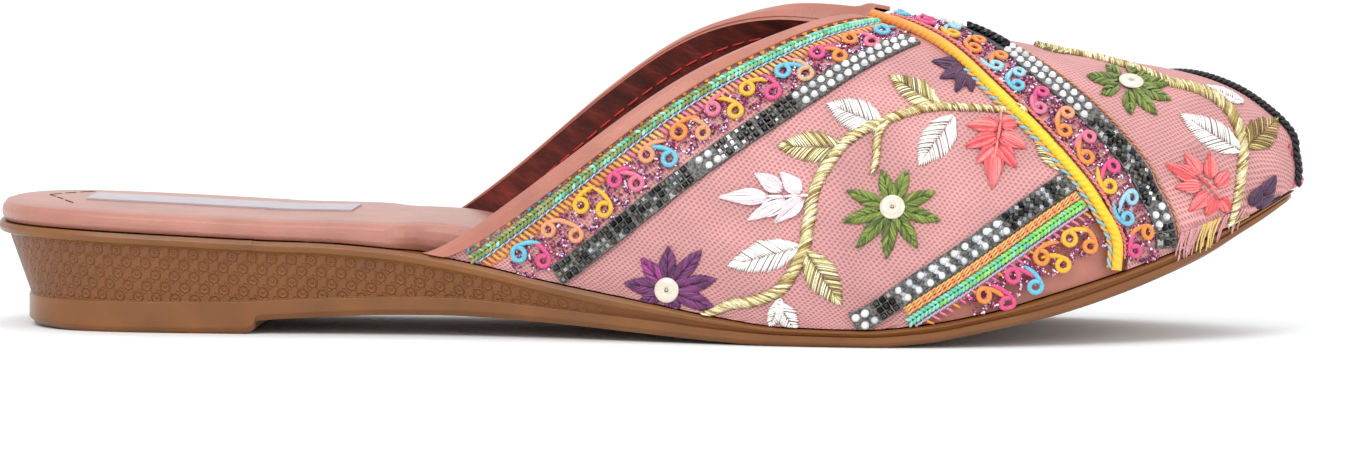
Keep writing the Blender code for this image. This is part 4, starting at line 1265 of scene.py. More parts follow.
def curls(band, s, t, turn, mirror, size, dyes, radius=None):
    """Curls laid on a band, each where its ring's centre is."""
    radius = radius or size_of("curl_thread") / 2
    paths, normals = [], []
    height = np.concatenate([np.linspace(0.45, 0.7, 8), np.linspace(0.7, 0.6, 8),
                             np.linspace(0.7, 1.15, CURL_POINTS - 16)])
    for place, across, angle, shape, scale in zip(s, t, turn, mirror, size):
        path = curl(shape) * scale
        cos, sin = math.cos(angle), math.sin(angle)
        x, y = path[:, 0] * cos - path[:, 1] * sin, path[:, 0] * sin + path[:, 1] * cos
        paths.append(band(place + x, across + y, height))
        normals.append(normal_at(*band.pair(place + x, across + y)))
    widths = np.concatenate([[0.45, 0.8], np.ones(CURL_POINTS - 4), [0.9, 0.6]]) * radius
    return thread_mesh(paths, np.array(normals), widths, dyes, sides=7, flat=0.9)


def tinsel(rng, band, s_from, s_to, t_low, t_high, density=30.0, wave=3.95):
    """Foil thread couched to and fro between the curls: beads of glitter along two zigzags that cross."""
    count = int((s_to - s_from) * density)
    s = rng.uniform(s_from, s_to, count)
    phase = math.pi * (rng.random(count) > 0.5)
    share = 0.5 + 0.5 * np.sin(math.pi * s / wave + phase)
    on_line = rng.random(count) < 0.7
    share = np.where(on_line, share, rng.random(count)) + rng.normal(0.0, 0.07, count)
    share = np.clip(share, -0.06, 1.06)
    low, high = (np.interp(s, (s_from, s_to), edge) for edge in (t_low, t_high))
    t = low + (high - low) * share
    light = picked(rng, ["F7EAF4", "D9A6C4", "C8BEE0", "F4F2FA", "D77AA8", "B04A82"], count)
    deep = picked(rng, ["7A2850", "5C2040", "9A3A6A", "6B3A78", "C04866", "8A2F5A"], count)
    dyes = np.where((on_line & (rng.random(count) < 0.62))[:, None], light, deep)
    height, turn = rng.uniform(0.1, 0.6, count), rng.uniform(0, math.pi, count)
    size = rng.uniform(0.36, 0.6, count)
    return set_on(band, "bead", s, t, height, turn, (size, size, size), dyes)


def chain_braid(rng, band, low_colours, high_colours, start, end):
    """A chain stitch braid: pairs of plump grains that slant together, 0.85 mm apart."""
    s = np.arange(start, end, 0.85)
    share = (s - start) / (end - start)
    batches = []
    for side in (-1, 1):
        low, high = (picked(rng, colours, len(s)) for colours in (low_colours, high_colours))
        colours = np.where((rng.random(len(s)) < share)[:, None], high, low)
        batches.append(set_on(band, "grain", s, side * 0.44, 0.62, side * 0.6, (1.5, 0.75, 0.8), colours))
    return batches


def straight_stitches(band, s, t_from, t_to, lean, colours, radius):
    """Single stitches across a band; lean is how far each runs along it."""
    s = np.asarray(s, float)[:, None]
    q = np.linspace(0.0, 1.0, 4)[None, :]
    along = s + lean * q
    t = t_from + (t_to - t_from) * q + 0.0 * s
    rise = 0.1 + 0.45 * np.sin(math.pi * q) ** 0.7 + 0.0 * s
    return thread_mesh(band(along, t, rise), normal_at(*band.pair(along, t)), radius, colours, sides=5)


def scallops(rng, band, start, end, t, depth, colours_at):
    """A looped edging: half rings 2.5 mm apart that lean away from the braid."""
    s = np.arange(start, end, 2.5)
    angle = np.linspace(0.0, math.pi, 8)[None, :]
    along = s[:, None] - 1.25 * np.cos(angle)
    across = t - depth * np.sin(angle) + 0.0 * s[:, None]
    rise = 0.3 + 0.25 * np.sin(angle) + 0.0 * s[:, None]
    colours = np.array([from_hex(colours_at(rng, place)) for place in s])
    return thread_mesh(band(along, across, rise), normal_at(*band.pair(along, across)), 0.36, colours,
                       sides=5)


def twisted_cord(band, t, height, radius, pitch, shades, start, end):
    """Plies wound round each other along a band."""
    s = np.arange(start, end, 0.3)
    at, girth = band.pair(s, t)
    centre = band(s, t, height)
    normal = normal_at(at, girth)
    side = np.cross(np.gradient(centre, axis=0), normal)
    side /= np.linalg.norm(side, axis=-1, keepdims=True)
    batches = []
    for ply, shade in enumerate(shades):
        angle = 2 * math.pi * (s / pitch + ply / len(shades))
        path = centre + 0.55 * radius * (np.cos(angle)[:, None] * side + np.sin(angle)[:, None] * normal)
        dye = from_hex(shade) if isinstance(shade, str) else shade
        batches.append(thread_mesh([path], np.array([normal]), radius * 0.62, [dye], sides=6, flat=1.0))
    return batches


DARK_STONES = ["262629", "38383B", "4A4A4C", "68675F", "8C8B88", "B2B2B0", "33312E", "5A5850"]
BRIGHT_STONES = ["D9DADD", "C4C6CB", "EDEDEF", "DEDCD8"]
SILVER_STONES = ["C9CACD", "9B9CA1", "77787D", "E2E3E6", "6A6A6E"]


# How far apart these stand along a tape: tiles of nine stones, round stones, pairs and loose chips.
TILE_PITCH = 4.75
ROUND_PITCH = 2.05
PAIR_PITCH = 2.55
CHIP_PITCH = 1.3


def stone_rows(rng, band, kinds, start, end):
    """Stones set on a tape. kinds lists (the share of the tape up to which it holds, the kind)."""
    stones, crystals = [], []
    low = start
    for share, kind in kinds:
        high = start + (end - start) * share
        if kind == "tiles":
            for tile in np.arange(low, high - 3.0, TILE_PITCH):
                along, across = tile + 0.8 + 1.42 * np.arange(3), 1.36 * np.arange(-1, 2)
                s, t = (grid.ravel() for grid in np.meshgrid(along, across))
                shine = picked(rng, DARK_STONES + (SILVER_STONES if rng.random() < 0.25 else []), len(s))
                turn = rng.normal(0, 0.06, len(s))
                size = 1.3, 1.3, rng.uniform(1.0, 1.7, len(s))
                stones.append(set_on(band, "square", s, t, 0.95, turn, size, shine))
        elif kind == "rows":
            s = np.arange(low + 0.9, high - 0.6, ROUND_PITCH)
            for line, shift in ((-1.02, 0.0), (1.02, 1.0)):
                t = line + rng.normal(0, 0.06, len(s))
                size = rng.uniform(1.78, 1.98, len(s))
                shine = picked(rng, BRIGHT_STONES, len(s))
                size = size * 0.92, size * 0.86, 1.5
                crystals.append(set_on(band, "round", s + shift, t, 0.98, 0.0, size, shine))
        elif kind == "pairs":
            for cell in np.arange(low, high - 1.6, PAIR_PITCH):
                s, t = cell + np.array([0.75, 1.45]), np.array([-1.05, 1.05])
                shine = picked(rng, BRIGHT_STONES, 2)
                crystals.append(set_on(band, "round", s, t, 0.98, 0.0, (1.6, 1.6, 1.4), shine))
                s, t = cell + np.array([0.7, 1.5, 1.1]), np.array([0.8, -0.8, 0.0])
                shine = picked(rng, SILVER_STONES, 3)
                stones.append(set_on(band, "square", s, t, 0.9, 0.5, (1.2, 1.2, 1.0), shine))
        elif kind == "rope":
            stones += twisted_cord(band, 0.0, 0.95, 0.95, 3.4, ["1B1A1D", "2E2C31"], low, high)
        else:
            places = np.arange(low + 0.7, high - 0.3, CHIP_PITCH)
            for t in (-1.3, 0.0, 1.3):
                s = places + rng.normal(0, 0.1, len(places))
                turn = rng.uniform(0, 1.5, len(s))
                size = 1.35, 1.35, rng.uniform(1.1, 2.0, len(s))
                shine = picked(rng, DARK_STONES + SILVER_STONES[:3], len(s))
                stones.append(set_on(band, "square", s, t, 0.92, turn, size, shine))
        low = high
    return stones, crystals


TINTS = {
    "yellow": "F2B62C", "orange": "EC8E3C", "peach": "E59C6E", "pink": "DE4C84", "rose": "E47492",
    "blue": "6CBFD8", "sky": "9FD0E0", "sand": "D3AC84",
}


def silk_finish():
    return dyed_finish("rayon embroidery silk", 0.38, Sheen_Weight=0.15)


def tape_finish():
    """The stones' backing: black lacquered mesh with a dull gleam, partly from the shader and partly painted
    as lighter grey blotches.
    """
    made, tree, shader = new_finish("black stone tape", from_hex("2A282A"), 0.5, Metallic=0.3)
    # painted gleam: blotches of lighter grey over the black
    painted_gleam = add_node(tree, "TexNoise", {"Vector": in_millimetres(tree, own_map=False), "Scale": 2.0})
    colour = add_node(tree, "ValToRGB", {"Fac": painted_gleam},
                      stops=[(0.35, from_hex("2B2A2B")), (0.65, from_hex("76746F"))])
    dress(tree, shader, colour)
    return made


def trim(name, batches, finish, *nodes, slot=None, smooth=True):
    """Joined threads, beads or stones that ride on the shoe."""
    replace_nodes(joined(name, batches, finish, smooth), *nodes, slot=slot)


def green_braid(name, node, rng, band, low_colours, high_colours, start, short):
    """A braid that ends short of its band's end, and changes from low to high colours on the way."""
    braid = chain_braid(rng, band, low_colours, high_colours, start, band.length - short)
    trim(name, braid, dyed_finish("mercerised cotton, chain stitched", 0.5, Sheen_Weight=0.2), node,
         slot="green_braid")


def glitter(name, rng, band, start, short, low, high, **settings):
    """A border's foil thread, which ends short of its band's end."""
    beads = tinsel(rng, band, start, band.length - short, low, high, **settings)
    trim(name, [beads], dyed_finish("foil glitter thread", 0.24, fibre=0.0, Metallic=0.4), smooth=False)


def stone_tape(name, backing, node, rng, band, kinds, start, short, **settings):
    """A tape with its dark and its bright stones."""
    replace_nodes(tape_piece(backing, band, **settings), node, slot="stone_tape")
    stones, crystals = stone_rows(rng, band, kinds, start, band.length - short)
    trim(name + "_dark_stones", stones, dyed_finish("gunmetal stones", 0.2, fibre=0.0, Metallic=0.85),
         smooth=False)
    glass = dyed_finish("foiled glass stones", 0.08, fibre=0.0, IOR=1.6, Coat_Weight=0.6)
    trim(name + "_bright_stones", crystals, glass, smooth=False)


def curl_rows(rng, band, start, end, t_high, t_low, high_tints, low_tints, pitch=1.0, size=1.0):
    """The two rows of curls: the upper ones lie along the band, and the lower ones stand across it."""
    batches = []
    span = (start, end)
    pitch = pitch * size_of("curl_pitch")
    for row, (edge, tints) in enumerate(((t_high, high_tints), (t_low, low_tints))):
        s = np.arange(start + 1.5 + row * pitch * 0.42, end - 1.0, pitch)
        s = s + rng.normal(0.0, 0.2, len(s))
        t = np.interp(s, span, edge) + rng.normal(0.0, 0.2, len(s))
        turn = np.full(len(s), 1.5 * math.pi if row == 0 else math.pi) + rng.normal(0.0, 0.28, len(s))
        mirror = np.full(len(s), -1.0 if row == 0 else 1.0)
        dyes = [from_hex(TINTS[tints[i % len(tints)]]) for i in range(len(s))]
        batches.append(curls(band, s, t, turn, mirror, rng.uniform(0.9, 1.08, len(s)) * size, dyes))
    return batches


def first_stretch(shows):
    """The first unbroken run of points that show."""
    shows = np.asarray(shows)
    start = int(np.argmax(shows))
    stop = start + int(np.argmin(shows[start:])) if not shows[start:].all() else len(shows)
    keep = np.zeros(len(shows), bool)
    keep[start:stop] = True
    return keep


def clear_of_crossing(pairs, offset, clearance):
    """The stretch of a line on the lower strap, moved by an offset, that ends just short of the piping."""
    pairs = beside(pairs, offset)
    shows = (pairs[:, 1] < 0) & (pairs[:, 0] < CROSSING_AT(pairs[:, 1]) - clearance) & (pairs[:, 1] > -0.985)
    shows &= np.gradient(pairs[:, 1]) > 0
    return Band(pairs[first_stretch(shows)], on_under)


def piping_piece():
    """The yellow cord where the straps cross, whipped over its lower half in blue and orange."""
    piping = Band(crossing_line(-0.985, -0.012), on_leather)
    made = cord_piece("crossing_cord", piping, PIPING_RADIUS, piping_finish(), height=0.9)
    replace_nodes(made, "crossing_piping", slot="yellow_piping")
    whip_to = 0.66 * piping.length
    whip = twisted_cord(Band(crossing_line(-0.985, -0.02), on_under), -1.4, 0.4, 0.5, 3.0,
                        ("8FC4D4", "F0B05C"), 0.3, whip_to)
    trim("piping_whip", whip, silk_finish())


def rear_border():
    """Border behind the lower strap's flowers: scallops, braid, fringe, curls and the tile tape."""
    rng = np.random.default_rng(SEED)
    line_behind = line_points(line([*COLLAR[:7], PAST_THROAT]), -1.0, PAST_THROAT.girth)
    rear = clear_of_crossing(line_behind, BRAID_OFFSET, 2.2)
    green_braid("braid_rear_stitches", "braid_rear", rng, rear, ["7E8E4C", "96A060", "74965A", "A9AE74"],
                ["74CFA6", "8ADBB8", "5FBF94", "A8E2C8"], 0.4, 0.3)
    silk = [scallops(rng, rear, 1.5, rear.length - 1.0, -1.15, 1.25,
                     lambda chance, s: "5FAFB8" if s < 26.0 and chance.random() < 0.75 else
                     ("F0923C" if chance.random() < 0.7 else "F2B03A"))]
    s = np.arange(2.0, rear.length - 1.0, 1.1)
    fringe = np.where((s < 34.0)[:, None], picked(rng, ["F0923C", "F2AA3A"], len(s)),
                      picked(rng, ["F2B44A", "EE9A72", "E87A9A", "EFC46A", "EBA272"], len(s)))
    silk.append(straight_stitches(rear, s, 1.2, 3.6, 0.9, fringe, 0.34))
    silk += twisted_cord(rear, 1.15, 0.5, 0.22, 1.6, ["BFD9F0", "7A94C0"], 0.8, rear.length - 0.8)
    loops = clear_of_crossing(line_behind, 11.2, 2.0)
    silk += curl_rows(rng, loops, 1.0, loops.length - 1.0, (-1.6, -1.6), (2.5, 0.9),
                      ["blue", "peach", "yellow", "pink", "peach", "orange", "rose", "yellow", "blue",
                       "pink", "orange"],
                      ["pink", "peach", "yellow", "rose", "blue", "peach", "yellow", "pink", "sand",
                       "orange", "rose",
                       "blue", "orange"])
    trim("rear_border_silk", silk, silk_finish())
    glitter("rear_border_glitter", rng, loops, 0.3, 0.5, (-2.4, -2.4), (4.4, 2.0))
    offset = TILE_OFFSET - TILE_CLOSING * blend(-0.5, 0.0, line_behind[:, 1])
    kinds = [(0.4, "tiles"), (0.45, "rows"), (0.66, "tiles"), (1.0, "rows")]
    stone_tape("tile_tape", "tile_tape_backing", "tile_tape", rng,
               clear_of_crossing(line_behind, offset, 1.6), kinds,
               0.3, 0.3)


def front_border():
    """Border in front of the lower strap's flowers: stones in pairs, twisted lines, braid and curls."""
    rng = np.random.default_rng(SEED + 2)
    line_ahead = line_points(line(FRONT_STONES), -1.0, -0.5)
    kinds = [(0.1, "rows"), (0.2, "tiles"), (0.7, "pairs"), (1.0, "chips")]
    stone_tape("front_tape", "front_stone_backing", "stone_tape_under", rng,
               clear_of_crossing(line_ahead, 0.0, 1.6), kinds,
               0.4, 0.3)
    front = clear_of_crossing(line_ahead, FRONT_BRAID_OFFSET, 1.8)
    green_braid("braid_front_stitches", "braid_front", rng, front, ["7AD4B8", "68C8A4", "8ADCC4"],
                ["8ADB6A", "9AE47A", "74CC62"], 0.4, 0.2)
    silk = []
    for t, shade in ((-1.35, "EE9450"), (-1.95, "EC8466"), (-2.45, "EFB05C")):
        silk += twisted_cord(front, t, 0.35, 0.3, 2.2, [shade, "F2BE6E"], 0.5, front.length - 0.4)
    silk += twisted_cord(front, 1.3, 0.4, 0.26, 1.8, ["8FC9E6", "F0A0B8"], 0.8, front.length - 0.4)
    s = np.arange(3.0, front.length - 1.0, 1.5)
    silk.append(straight_stitches(front, s, 1.4, 3.2, 0.8,
                                  picked(rng, ["E8609A", "F0923C", "EE7A9A"], len(s)), 0.27))
    loops = clear_of_crossing(line_ahead, FRONT_BRAID_OFFSET + 5.2, 1.6)
    silk += curl_rows(rng, loops, 2.5, loops.length - 0.5, (-1.5, -1.2), (2.4, 2.4),
                      ["orange", "pink", "orange", "yellow", "rose"],
                      ["pink", "blue", "yellow", "orange", "orange"],
                      pitch=0.85, size=0.95)
    trim("front_border_silk", silk, silk_finish())
    glitter("front_border_glitter", rng, loops, 0.5, 0.5, (-2.6, -2.2), (1.2, 3.6), density=24.0)


def crossing_border():
    """Border on the upper strap along the piping, and the stone tape that runs on over the shoe."""
    rng = np.random.default_rng(SEED + 3)
    loops = Band(beside(line_points(CROSSING_AT, -0.985, -0.03), 4.6), over_high)
    span = loops.length
    silk = curl_rows(rng, loops, 1.0, span, (-1.0, -1.0), (2.0, 2.0),
                     ["pink", "blue", "yellow", "orange", "orange", "rose", "blue", "sky", "orange",
                      "yellow"],
                     ["orange", "sky", "pink", "rose", "peach", "pink", "sky", "orange"], pitch=0.85,
                     size=0.86)
    silk += twisted_cord(loops, -3.1, 0.35, 0.33, 2.4, ["EC8A50", "DF7898"], 0.4, span - 1.0)
    glitter("crossing_border_glitter", rng, loops, 0.3, 0.5, (-2.4, -2.4), (3.4, 3.4), wave=3.4)
    crossing = line_points(over_rear, -1.0, 1.0)
    across = STONE_OFFSET + (STONE_OFFSET_INNER - STONE_OFFSET) * blend(-0.1, 0.2, crossing[:, 1])
    moved = beside(crossing, across)
    stones_line = Band(moved[np.abs(crossing[:, 1]) > THROAT_KINK], over_high)
    full = stones_line.length
    ends = [(3.5, "tiles"), (8.5, "rows"), (29.0, "chips"), (54.0, "rows"), (66.0, "rope"),
            (84.0, "rows"), (full, "tiles")]
    stone_tape("upper_tape", "upper_stone_backing", "stone_tape_over", rng, stones_line,
               [(end / full, kind) for end, kind in ends], 0.3, 0.4, count=360)
    silk += twisted_cord(stones_line, TAPE_WIDTH / 2 + 0.9, 0.2, 0.3, 2.0, ["B8785C", "D09A76"], 1.0,
                         full - 1.0)
    trim("crossing_border_silk", silk, silk_finish())


def inner_border():
    """Border behind the upper strap's edge on the inner side of the collar."""
    rng = np.random.default_rng(SEED + 4)
    inner = Band(beside(collar_line(0.07, 0.985), BRAID_OFFSET), over_high)
    green_braid("braid_inner_stitches", "braid_inner", rng, inner, ["74CFA6", "8ADBB8"],
                ["7E8E4C", "96A060"], 0.6, 0.4)
    silk = [scallops(rng, inner, 1.5, inner.length - 1.0, -1.15, 1.15,
                     lambda chance, s: "F0923C" if chance.random() < 0.7 else "F2B03A")]
    s = np.arange(2.0, inner.length - 1.0, 1.25)
    silk.append(straight_stitches(inner, s, 1.2, 3.5, -0.9,
                                  picked(rng, ["F2B44A", "EE9A72", "E87A9A"], len(s)), 0.27))
    loops = Band(beside(collar_line(0.09, 0.985), 9.9), over_high)
    silk += curl_rows(rng, loops, 1.0, loops.length - 1.0, (-1.2, -1.2), (1.7, 1.7),
                      ["pink", "yellow", "orange", "blue", "rose"],
                      ["yellow", "orange", "pink", "sky", "peach"])
    trim("inner_border_silk", silk, silk_finish())
    glitter("inner_border_glitter", rng, loops, 0.5, 0.5, (-2.2, -2.2), (3.4, 3.4))


def toe_border():
    """The black cord at the toe, and a row of small curls in front of it."""
    rng = np.random.default_rng(SEED + 5)
    toe = Band(line_points(lambda girth: OVER_FRONT_AT(girth) - TOE_CORD_INSET, -0.72, 0.97), over_high)
    black = [toned(colour_of("cord"), 0.8), toned(colour_of("cord"), 1.3)]
    plies = twisted_cord(toe, 0.0, 0.6, 0.72, 2.2, black, 0.2, toe.length - 0.2)
    trim("toe_cord_plies", plies, dyed_finish("black rayon cord", 0.5), "toe_cord", slot="black_cord")
    edge = Band(line_points(lambda girth: OVER_FRONT_AT(girth) + 0.9, -0.6, 0.96), on_under)
    s = np.arange(1.0, edge.length - 1.0, 2.3)
    tints = picked(rng, ["E8608F", "F0A8BC", "58A8B0", "C9DCE0", "EE7A9A", "8FC9D6", "B02E5A"], len(s))
    silk = [curls(edge, s, np.full(len(s), 0.6), rng.uniform(2.4, 3.8, len(s)), np.ones(len(s)),
                  np.full(len(s), 0.55), tints,
                  radius=0.42)]
    trim("toe_border_silk", silk, silk_finish())
    glitter("toe_border_glitter", rng, edge, 0.5, 0.5, (-0.8, -0.8), (1.6, 1.6), density=12.0)


# The photo's camera, fitted to the outlines of the solids: pixels are of an image 1366 wide and 473 high
IMAGE_WIDTH, IMAGE_HEIGHT = 1366, 473
CAMERA_TARGET = np.array([129.87, -0.6, 30.0])
CAMERA_AZIMUTH, CAMERA_ELEVATION, CAMERA_ROLL = (math.radians(a) for a in (5.95, 4.593, 0.094))
CAMERA_DISTANCE = 2500.0
PIXELS_PER_MM = 5.064
TARGET_PIXEL = (649.7, 176.7)


def camera_axes():
    """Unit vectors of the photo's view: to its right, up, and towards the camera."""
    towards = np.array([
        math.sin(CAMERA_AZIMUTH) * math.cos(CAMERA_ELEVATION),
        -math.cos(CAMERA_AZIMUTH) * math.cos(CAMERA_ELEVATION),
        math.sin(CAMERA_ELEVATION),
    ])
    right = np.array([math.cos(CAMERA_AZIMUTH), math.sin(CAMERA_AZIMUTH), 0.0])
    up = np.cross(towards, right)
    turned_right = math.cos(CAMERA_ROLL) * right + math.sin(CAMERA_ROLL) * up
    turned_up = math.cos(CAMERA_ROLL) * up - math.sin(CAMERA_ROLL) * right
    return turned_right, turned_up, towards


CAMERA_RIGHT, CAMERA_UP, CAMERA_TOWARDS = camera_axes()


def to_pixels(points):
    """Where points of the shoe, in millimetres, show in the photo."""
    q = points - CAMERA_TARGET
    scale = CAMERA_DISTANCE * PIXELS_PER_MM / (CAMERA_DISTANCE - q @ CAMERA_TOWARDS)
    return np.stack([TARGET_PIXEL[0] + q @ CAMERA_RIGHT * scale, TARGET_PIXEL[1] - q @ CAMERA_UP * scale],
                    axis=-1)


def photo_camera():
    """A camera at the photo's viewpoint, aimed so that the whole frame matches without a shift."""
    aim = (
        CAMERA_TARGET
        + CAMERA_RIGHT * (IMAGE_WIDTH / 2 - TARGET_PIXEL[0]) / PIXELS_PER_MM
        + CAMERA_UP * (TARGET_PIXEL[1] - IMAGE_HEIGHT / 2) / PIXELS_PER_MM
    )
    data = bpy.data.cameras.new("photo_camera")
    data.sensor_width = 36.0
    data.lens = 36.0 * CAMERA_DISTANCE * PIXELS_PER_MM / IMAGE_WIDTH
    data.clip_start, data.clip_end = 0.1, 20.0
    camera = bpy.data.objects.new("photo_camera", data)
    bpy.context.collection.objects.link(camera)
    axes = np.stack([CAMERA_RIGHT, CAMERA_UP, CAMERA_TOWARDS], axis=1)
    place = Matrix.Translation(placed(aim + CAMERA_TOWARDS * CAMERA_DISTANCE))
    camera.matrix_world = place @ Matrix(axes).to_4x4()
    bpy.context.scene.camera = camera


def soft_lamp(name, place, size, power):
    """A square studio lamp aimed at the shoe."""
    data = bpy.data.lights.new(name, "AREA")
    data.shape = "SQUARE"
    data.size, data.energy = size, power
    lamp = bpy.data.objects.new(name, data)
    bpy.context.collection.objects.link(lamp)
    lamp.location = place
    lamp.rotation_euler = (Vector((0.0, 0.0, 0.03)) - Vector(place)).to_track_quat("-Z", "Y").to_euler()


def stage():
    """A plain pale floor, soft studio lamps and a white surround."""
    bpy.ops.mesh.primitive_plane_add(size=12.0, location=(0.0, 0.0, 0.0))
    floor = bpy.context.active_object
    floor.name = "floor"
    floor.data.materials.append(new_finish("pale studio paper", from_hex("F6F8F8"), 0.9)[0])
    world = bpy.data.worlds.new("white surround")
    bpy.context.scene.world = world
    world.use_nodes = True
    surround = world.node_tree.nodes["Background"]
    surround.inputs["Color"].default_value = from_hex("FBFDFF")
    surround.inputs["Strength"].default_value = 1.0
    soft_lamp("key_lamp", (-0.5, -1.1, 1.3), 0.9, 12.0)
    soft_lamp("top_lamp", (0.15, 0.25, 1.2), 0.8, 2.5)
    soft_lamp("toe_lamp", (1.2, -0.6, 0.6), 0.7, 4.0)
    bpy.context.scene.view_settings.view_transform = "Standard"


STITCH_POINTS = 6


def top_height(at, girth):
    """Height of the net's face, on whichever strap shows."""
    return np.where((girth < 0) & (at < CROSSING_AT(-np.abs(girth)) + 0.5), on_under(at, girth),
                    over_high(at, girth))


def view_grid():
    """Where a grid of places on the vamp's near side shows in the photo."""
    at, girth = np.meshgrid(np.linspace(84.0, 261.0, 400), np.linspace(-0.999, 0.35, 300), indexing="ij")
    faces_camera = normal_at(at, girth) @ CAMERA_TOWARDS > 0.04
    at, girth = at[faces_camera], girth[faces_camera]
    pixels = to_pixels(vamp(at, girth, top_height(at, girth)))
    tree = KDTree(len(pixels))
    for i, (x, y) in enumerate(pixels):
        tree.insert((x, y, 0.0), i)
    tree.balance()
    return np.stack([at, girth], axis=-1), tree


def on_vamp(pixels, grid):
    """The place on the vamp that shows at each of the photo's pixels."""
    places, tree = grid
    pixels = np.asarray(pixels, float)
    wanted = pixels.reshape(-1, 2)
    pairs = np.array([places[tree.find((x, y, 0.0))[1]] for x, y in wanted])

    def shown(at, girth):
        return to_pixels(vamp(at, girth, top_height(at, girth)))

    for _ in range(3):
        at, girth = pairs.T
        here = shown(at, girth)
        by_at = (shown(at + 0.3, girth) - here) / 0.3
        by_girth = (shown(at, girth + 0.006) - here) / 0.006
        miss = wanted - here
        det = by_at[:, 0] * by_girth[:, 1] - by_at[:, 1] * by_girth[:, 0]
        det = np.where(np.abs(det) < 1e-3, np.inf, det)
        step = np.stack([
            (miss[:, 0] * by_girth[:, 1] - miss[:, 1] * by_girth[:, 0]) / det,
            (miss[:, 1] * by_at[:, 0] - miss[:, 0] * by_at[:, 1]) / det,
        ], axis=-1)
        pairs = pairs + np.clip(step, [-1.0, -0.02], [1.0, 0.02])
        pairs[:, 1] = np.clip(pairs[:, 1], -0.995, 0.6)
    return pairs.reshape(*pixels.shape)


class Needlework:
    """Stitches drawn as seen in the photo, gathered by the thread they are sewn in."""

    def __init__(self):
        self.grid = view_grid()
        self.rng = np.random.default_rng(SEED + 1)
        self.sewn = {"silk": [], "gold": []}
        self.both_sides = True

    def sew(self, thread, start, end, colours, radius, puff, low=0.12, bend=None):
        """Straight or bent stitches between pixels; puff is how many millimetres their middles stand up."""
        q = np.linspace(0.0, 1.0, STITCH_POINTS)[None, :, None]
        start, end = np.asarray(start, float)[:, None], np.asarray(end, float)[:, None]
        paths = start * (1 - q) + end * q
        if bend is not None:
            paths = paths + np.asarray(bend, float)[:, None] * 4 * q * (1 - q)
        padding = puff * bpy.context.scene.mule_sizes.stitch_puff
        rise = low + padding * np.sin(math.pi * q[..., 0]) ** 0.6 + 0.0 * paths[..., 0]
        rise = rise * self.rng.uniform(0.85, 1.15, (len(paths), 1))
        radii = radius * np.array([0.6, 0.95, 1.0, 1.0, 0.95, 0.55])[None, :] + 0.0 * rise
        if isinstance(colours, (list, tuple)):
            colours = picked(self.rng, colours, len(paths))
        mirrored = np.full(len(paths), self.both_sides)
        self.sewn[thread].append((paths, rise, radii, shaded(self.rng, colours, 0.08), mirrored))

    def leaf(self, thread, base, tip, width, colours, slant=0.9, spacing=2.1, radius=0.22, puff=0.38,
             widest=0.45):
        """A leaf of slanting stitches that end on its outline. widest is a share of its length."""
        base, tip = np.asarray(base, float), np.asarray(tip, float)
        length = np.linalg.norm(tip - base)
        axis = (tip - base) / length
        across = np.array([-axis[1], axis[0]])
        count = max(7, int(length / spacing))
        end_at = np.linspace(0.1, 1.0, count)
        bulge = np.where(end_at < widest, end_at / widest, (1.0 - end_at) / (1.0 - widest))
        half = width / 2 * np.sin(math.pi / 2 * np.clip(bulge, 0.0, 1.0)) ** 0.85
        for side in (-1, 1):
            reach = half * (1 + self.rng.normal(0.0, 0.05, count))
            start_at = np.clip(np.minimum(end_at - slant * reach / length, end_at - 0.12), 0.0, 0.93)
            start = base + axis * (start_at * length)[:, None] + self.rng.normal(0.0, 0.25, (count, 2))
            end = base + axis * (end_at * length)[:, None] + across * (side * reach)[:, None]
            self.sew(thread, start, end, colours, radius, puff)

    def petal(self, thread, base, tip, width, colours, strands=9, radius=0.27, puff=0.45, pointed=0.34):
        """A petal of long stitches side by side, from its base to its tip."""
        base, tip = np.asarray(base, float), np.asarray(tip, float)
        length = np.linalg.norm(tip - base)
        axis = (tip - base) / length
        across = np.array([-axis[1], axis[0]])
        offset = np.linspace(-1.0, 1.0, strands) + self.rng.normal(0.0, 0.04, strands)
        setback = self.rng.uniform(0, 0.06, (strands, 1)) * length
        start = base + across * (offset * width * 0.16)[:, None] + axis * setback
        reach = (1 - pointed * offset ** 2) * length
        end = base + axis * reach[:, None] + across * (offset * width * 0.26)[:, None]
        bend = across * (offset * width * 0.27)[:, None]
        self.sew(thread, start, end, colours, radius, puff, bend=bend)

    def vein(self, thread, points, colours, radius=0.3):
        """A single laid thread through pixels."""
        points = np.asarray(points, float)
        self.sew(thread, points[:-1], points[1:], colours, radius, 0.25, low=0.35)

    def flower(self, centre, tips, width, colours, inner=5.0, slant=2.2, radius=0.25, spacing=1.6):
        """Petals of V-shaped satin stitches round a centre."""
        for tip in tips:
            way = np.subtract(tip, centre)
            start = np.asarray(centre) + way / np.linalg.norm(way) * inner
            self.leaf("silk", start, tip, width, colours, slant=slant, spacing=spacing, radius=radius,
                      widest=0.5)

    def vine(self, points, width, colours, spacing=1.9, radius=0.2):
        """A gold vine: slanting stitches close together along a curve, so that it looks like rope."""
        points = np.asarray(points, float)
        place = np.concatenate([[0.0], np.cumsum(np.linalg.norm(np.diff(points, axis=0), axis=-1))])
        s = np.arange(0.0, place[-1], spacing)
        centre = np.stack([curve(place, points[:, i],
                                 np.gradient(points[:, i], place))(s) for i in (0, 1)], axis=-1)
        ahead = np.gradient(centre, axis=0)
        ahead /= np.linalg.norm(ahead, axis=-1, keepdims=True)
        across = np.stack([-ahead[:, 1], ahead[:, 0]], axis=-1)
        wide = np.interp(s, place, np.broadcast_to(width, len(points)))[:, None]
        wide = wide * self.rng.uniform(0.88, 1.1, wide.shape)
        for shift, share in ((0.0, 1.0), (0.5 * spacing, 0.7)):
            middle = centre + ahead * shift
            start = middle - across * wide / 2 * share - ahead * wide * 0.55
            end = middle + across * wide / 2 * share + ahead * wide * 0.55
            self.sew("gold", start, end, colours, radius, 0.75, low=0.1)

